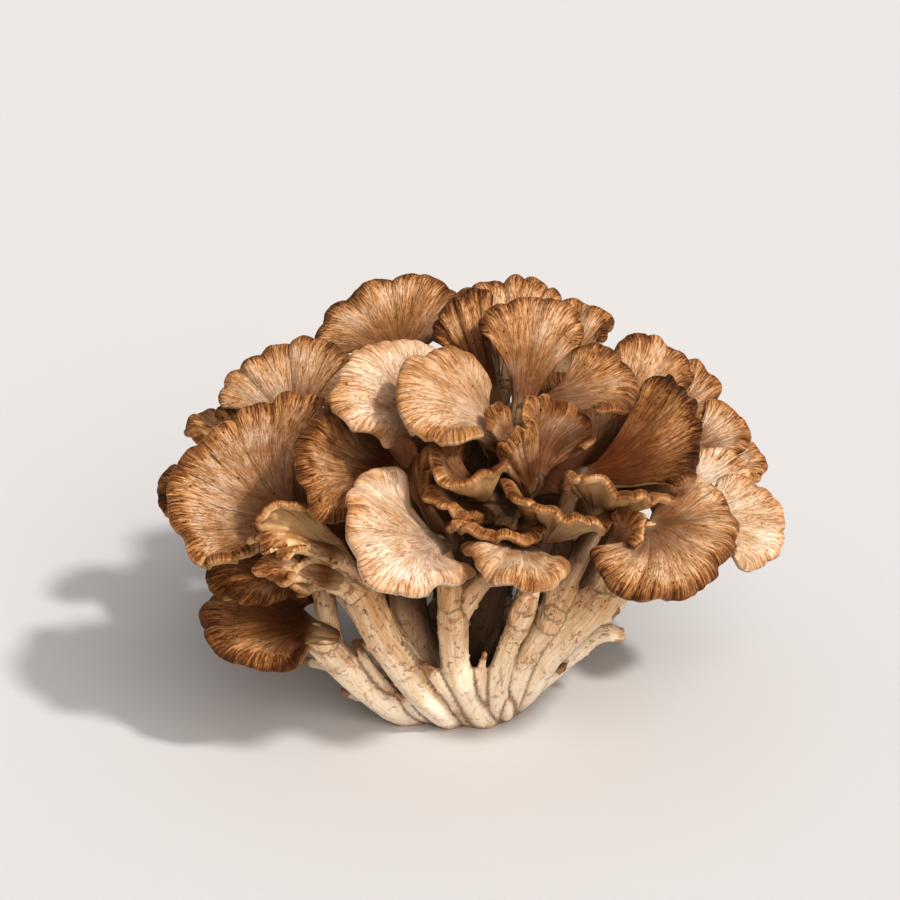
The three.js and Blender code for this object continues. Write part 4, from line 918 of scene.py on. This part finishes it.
def frond_material(name, skin, paleness, rim_dark, fibre):
    material, s = new_material(name)
    node = s.put("ShaderNodeGroup", dict(node_tree=skin))
    node.inputs["Paleness"].default_value = paleness
    node.inputs["Rim Dark"].default_value = rim_dark
    node.inputs["Fibre"].default_value = fibre
    finish_flesh(s, *(node.outputs[k] for k in ("Color", "Roughness", "Height")))
    return material


def stalk_material():
    """Stalks: cream, whitest at the foot, with brown scars and flakes higher up, and painted shade where
    they crowd together under the fronds and in the clefts between them."""
    material, s = new_material("stalk_flesh")
    fan = s.read("fan", "Vector")
    place = s.put("ShaderNodeTexCoord").outputs["Object"]
    tip, knot, cleft = s.read("tip"), s.read("knot"), s.read("cleft")
    x, y, z = s.put("ShaderNodeSeparateXYZ", Vector=place).outputs
    thin = s.grain(fan, 1.9, 0.12, 3.0, 0.65, 0.5)
    broad = s.grain(fan, 0.35, 0.06, 2.0, 0.5, 0.6)
    flake = s.grain(fan, 0.5, 0.34, 4.0, 0.62, 1.4)
    stain = s.noise(place, 120.0, 5.0, 0.7, 1.2)
    fine = s.noise(place, 900.0, 3.0, 0.7)
    value = s.plus(s.times(thin, 0.5), s.times(broad, 0.5))
    value = s.plus(value, s.step(z, 0.0, 0.055, 0.24, -0.1))
    cream = s.scale_of(value, [(0.12, srgb(150, 98, 52)), (0.34, srgb(207, 166, 124)),
                               (0.58, srgb(233, 209, 180)), (0.85, srgb(245, 233, 216))])
    height = s.step(z, 0.004, 0.045, 0.0, 1.0)
    scale = s.times(s.step(flake, 0.6, 0.66), s.line(height, 0.55, 0.1))
    cream = s.blend(scale, cream, srgb(166, 106, 50))
    ring = s.step(s.maths("ABSOLUTE", s.minus(flake, 0.625)), 0.0, 0.01, 1.0, 0.0)
    cream = s.blend(s.times(ring, s.line(height, 0.45, 0.05)), cream, srgb(132, 74, 26))
    cream = s.blend(s.step(stain, 0.6, 0.74, 0.0, 0.7), cream, srgb(166, 106, 46))
    # Painted shade in the clefts where stalks meet.
    cream = s.blend(s.times(cleft, 0.62), cream, srgb(134, 82, 34))
    scar = s.times(s.step(knot, 0.1, 0.4), s.step(stain, 0.45, 0.6))
    cream = s.blend(s.times(scar, 0.5), cream, srgb(150, 100, 52))
    # Painted shade over the crowded middle of the stalks, inside a basin that widens upward.
    reach = s.maths("SQRT", s.plus(s.times(x, x), s.times(y, y)))
    painted_shade_bowl = s.maths("MINIMUM", s.line(z, 0.4, 0.022), s.line(z, 1.2, 0.012))
    inside = s.minus(painted_shade_bowl, reach)
    cream = s.blend(s.step(inside, -0.004, 0.004, 0.0, 0.86), cream, srgb(62, 36, 16))
    ragged = s.step(s.plus(tip, s.line(stain, 2.6, -1.3)), 0.3, 0.9, 0.0, 0.75)
    colour = s.blend(ragged, cream, srgb(142, 94, 50))
    colour = s.blend(s.step(s.line(stain, -0.006, z), -0.001, -0.003, 0.0, 0.6), colour,
                     srgb(176, 120, 62))
    relief = s.plus(s.times(thin, 0.8), s.times(fine, 0.3))
    relief = s.plus(relief, s.times(s.step(flake, 0.605, 0.64), 0.8))
    finish_flesh(s, colour, s.line(thin, 0.3, 0.42), relief)
    return material


# ---- The cluster ----
fronds = [prepare(entry, k) for k, entry in enumerate([*FRONDS, *rear_fronds()])]
skin = frond_skin()
# The dark copy of the skin is partly painted shade, for the fronds that sit in shade.
looks = {
    "tan_frond": frond_material("tan_frond_skin", skin, 0.5, 1.0, 0.5),
    "pale_frond": frond_material("pale_frond_skin", skin, 0.85, 0.65, 0.32),
    "dark_frond": frond_material("dark_shaded_frond_skin", skin, 0.25, 1.0, 0.45),
}
show(stalk_cluster(fronds), "stalk", stalk_material(), "base")
for f in fronds:
    slot = "pale_frond" if f["name"] in PALE else "dark_frond" if f["name"] in DARK_AND_SHADED else "tan_frond"
    show(frond_mesh(f), slot, looks[slot], f["name"])

# ---- Ground, light and camera ----
ground_mesh = bpy.data.meshes.new("ground")
with reworked(ground_mesh) as bm:
    bmesh.ops.create_grid(bm, x_segments=2, y_segments=2, size=12.0)
ground = add_object("ground", ground_mesh)
paper, s = new_material("pale_paper")
s.put("ShaderNodeOutputMaterial", Surface=s.put(
    "ShaderNodeBsdfPrincipled", Base_Color=(0.51, 0.505, 0.51, 1), Roughness=0.9).outputs[0])
ground_mesh.materials.append(paper)

# A small bright source from the right, and a broad one from the front.
for name, energy, angle, towards in (("key", 1.95, 5, (0.70, -0.64, 1.0)),
                                     ("softbox", 1.68, 50, (0.35, -1.0, 0.75))):
    sun = add_object(name, bpy.data.lights.new(name, "SUN"))
    sun.data.energy = energy
    sun.data.angle = math.radians(angle)
    sun.data.color = (1.0, 0.97, 0.93)
    sun.rotation_euler = (math.acos(towards[2] / np.linalg.norm(towards)), 0,
                          math.atan2(towards[1], towards[0]) + math.pi / 2)

world = bpy.data.worlds.new("room")
bpy.context.scene.world = world
world.use_nodes = True
world.node_tree.nodes["Background"].inputs[0].default_value = (1.0, 0.96, 0.93, 1)
world.node_tree.nodes["Background"].inputs[1].default_value = 0.43
bpy.context.scene.view_settings.view_transform = "Standard"
bpy.context.scene.view_settings.look = "High Contrast"

LENS, SENSOR, DISTANCE, ELEVATION = 85, 36, 637.5, math.radians(22)
FOOT_PIXEL = (472, 683)  # where the middle of the foot falls in a 900-pixel frame
pixel = DISTANCE * SENSOR / LENS / 900
up = np.array((0, math.sin(ELEVATION), math.cos(ELEVATION)))
ahead = np.array((0, math.cos(ELEVATION), -math.sin(ELEVATION)))
aim = np.array((1.0, 0, 0)) * (450 - FOOT_PIXEL[0]) * pixel + up * (FOOT_PIXEL[1] - 450) * pixel
camera = add_object("camera", bpy.data.cameras.new("camera"))
camera.location = (aim - ahead * DISTANCE) * MM
camera.rotation_euler = (math.pi / 2 - ELEVATION, 0, 0)
camera.data.lens = LENS
camera.data.sensor_width = SENSOR
camera.data.clip_start = 0.01
camera.data.clip_end = 100
bpy.context.scene.camera = camera
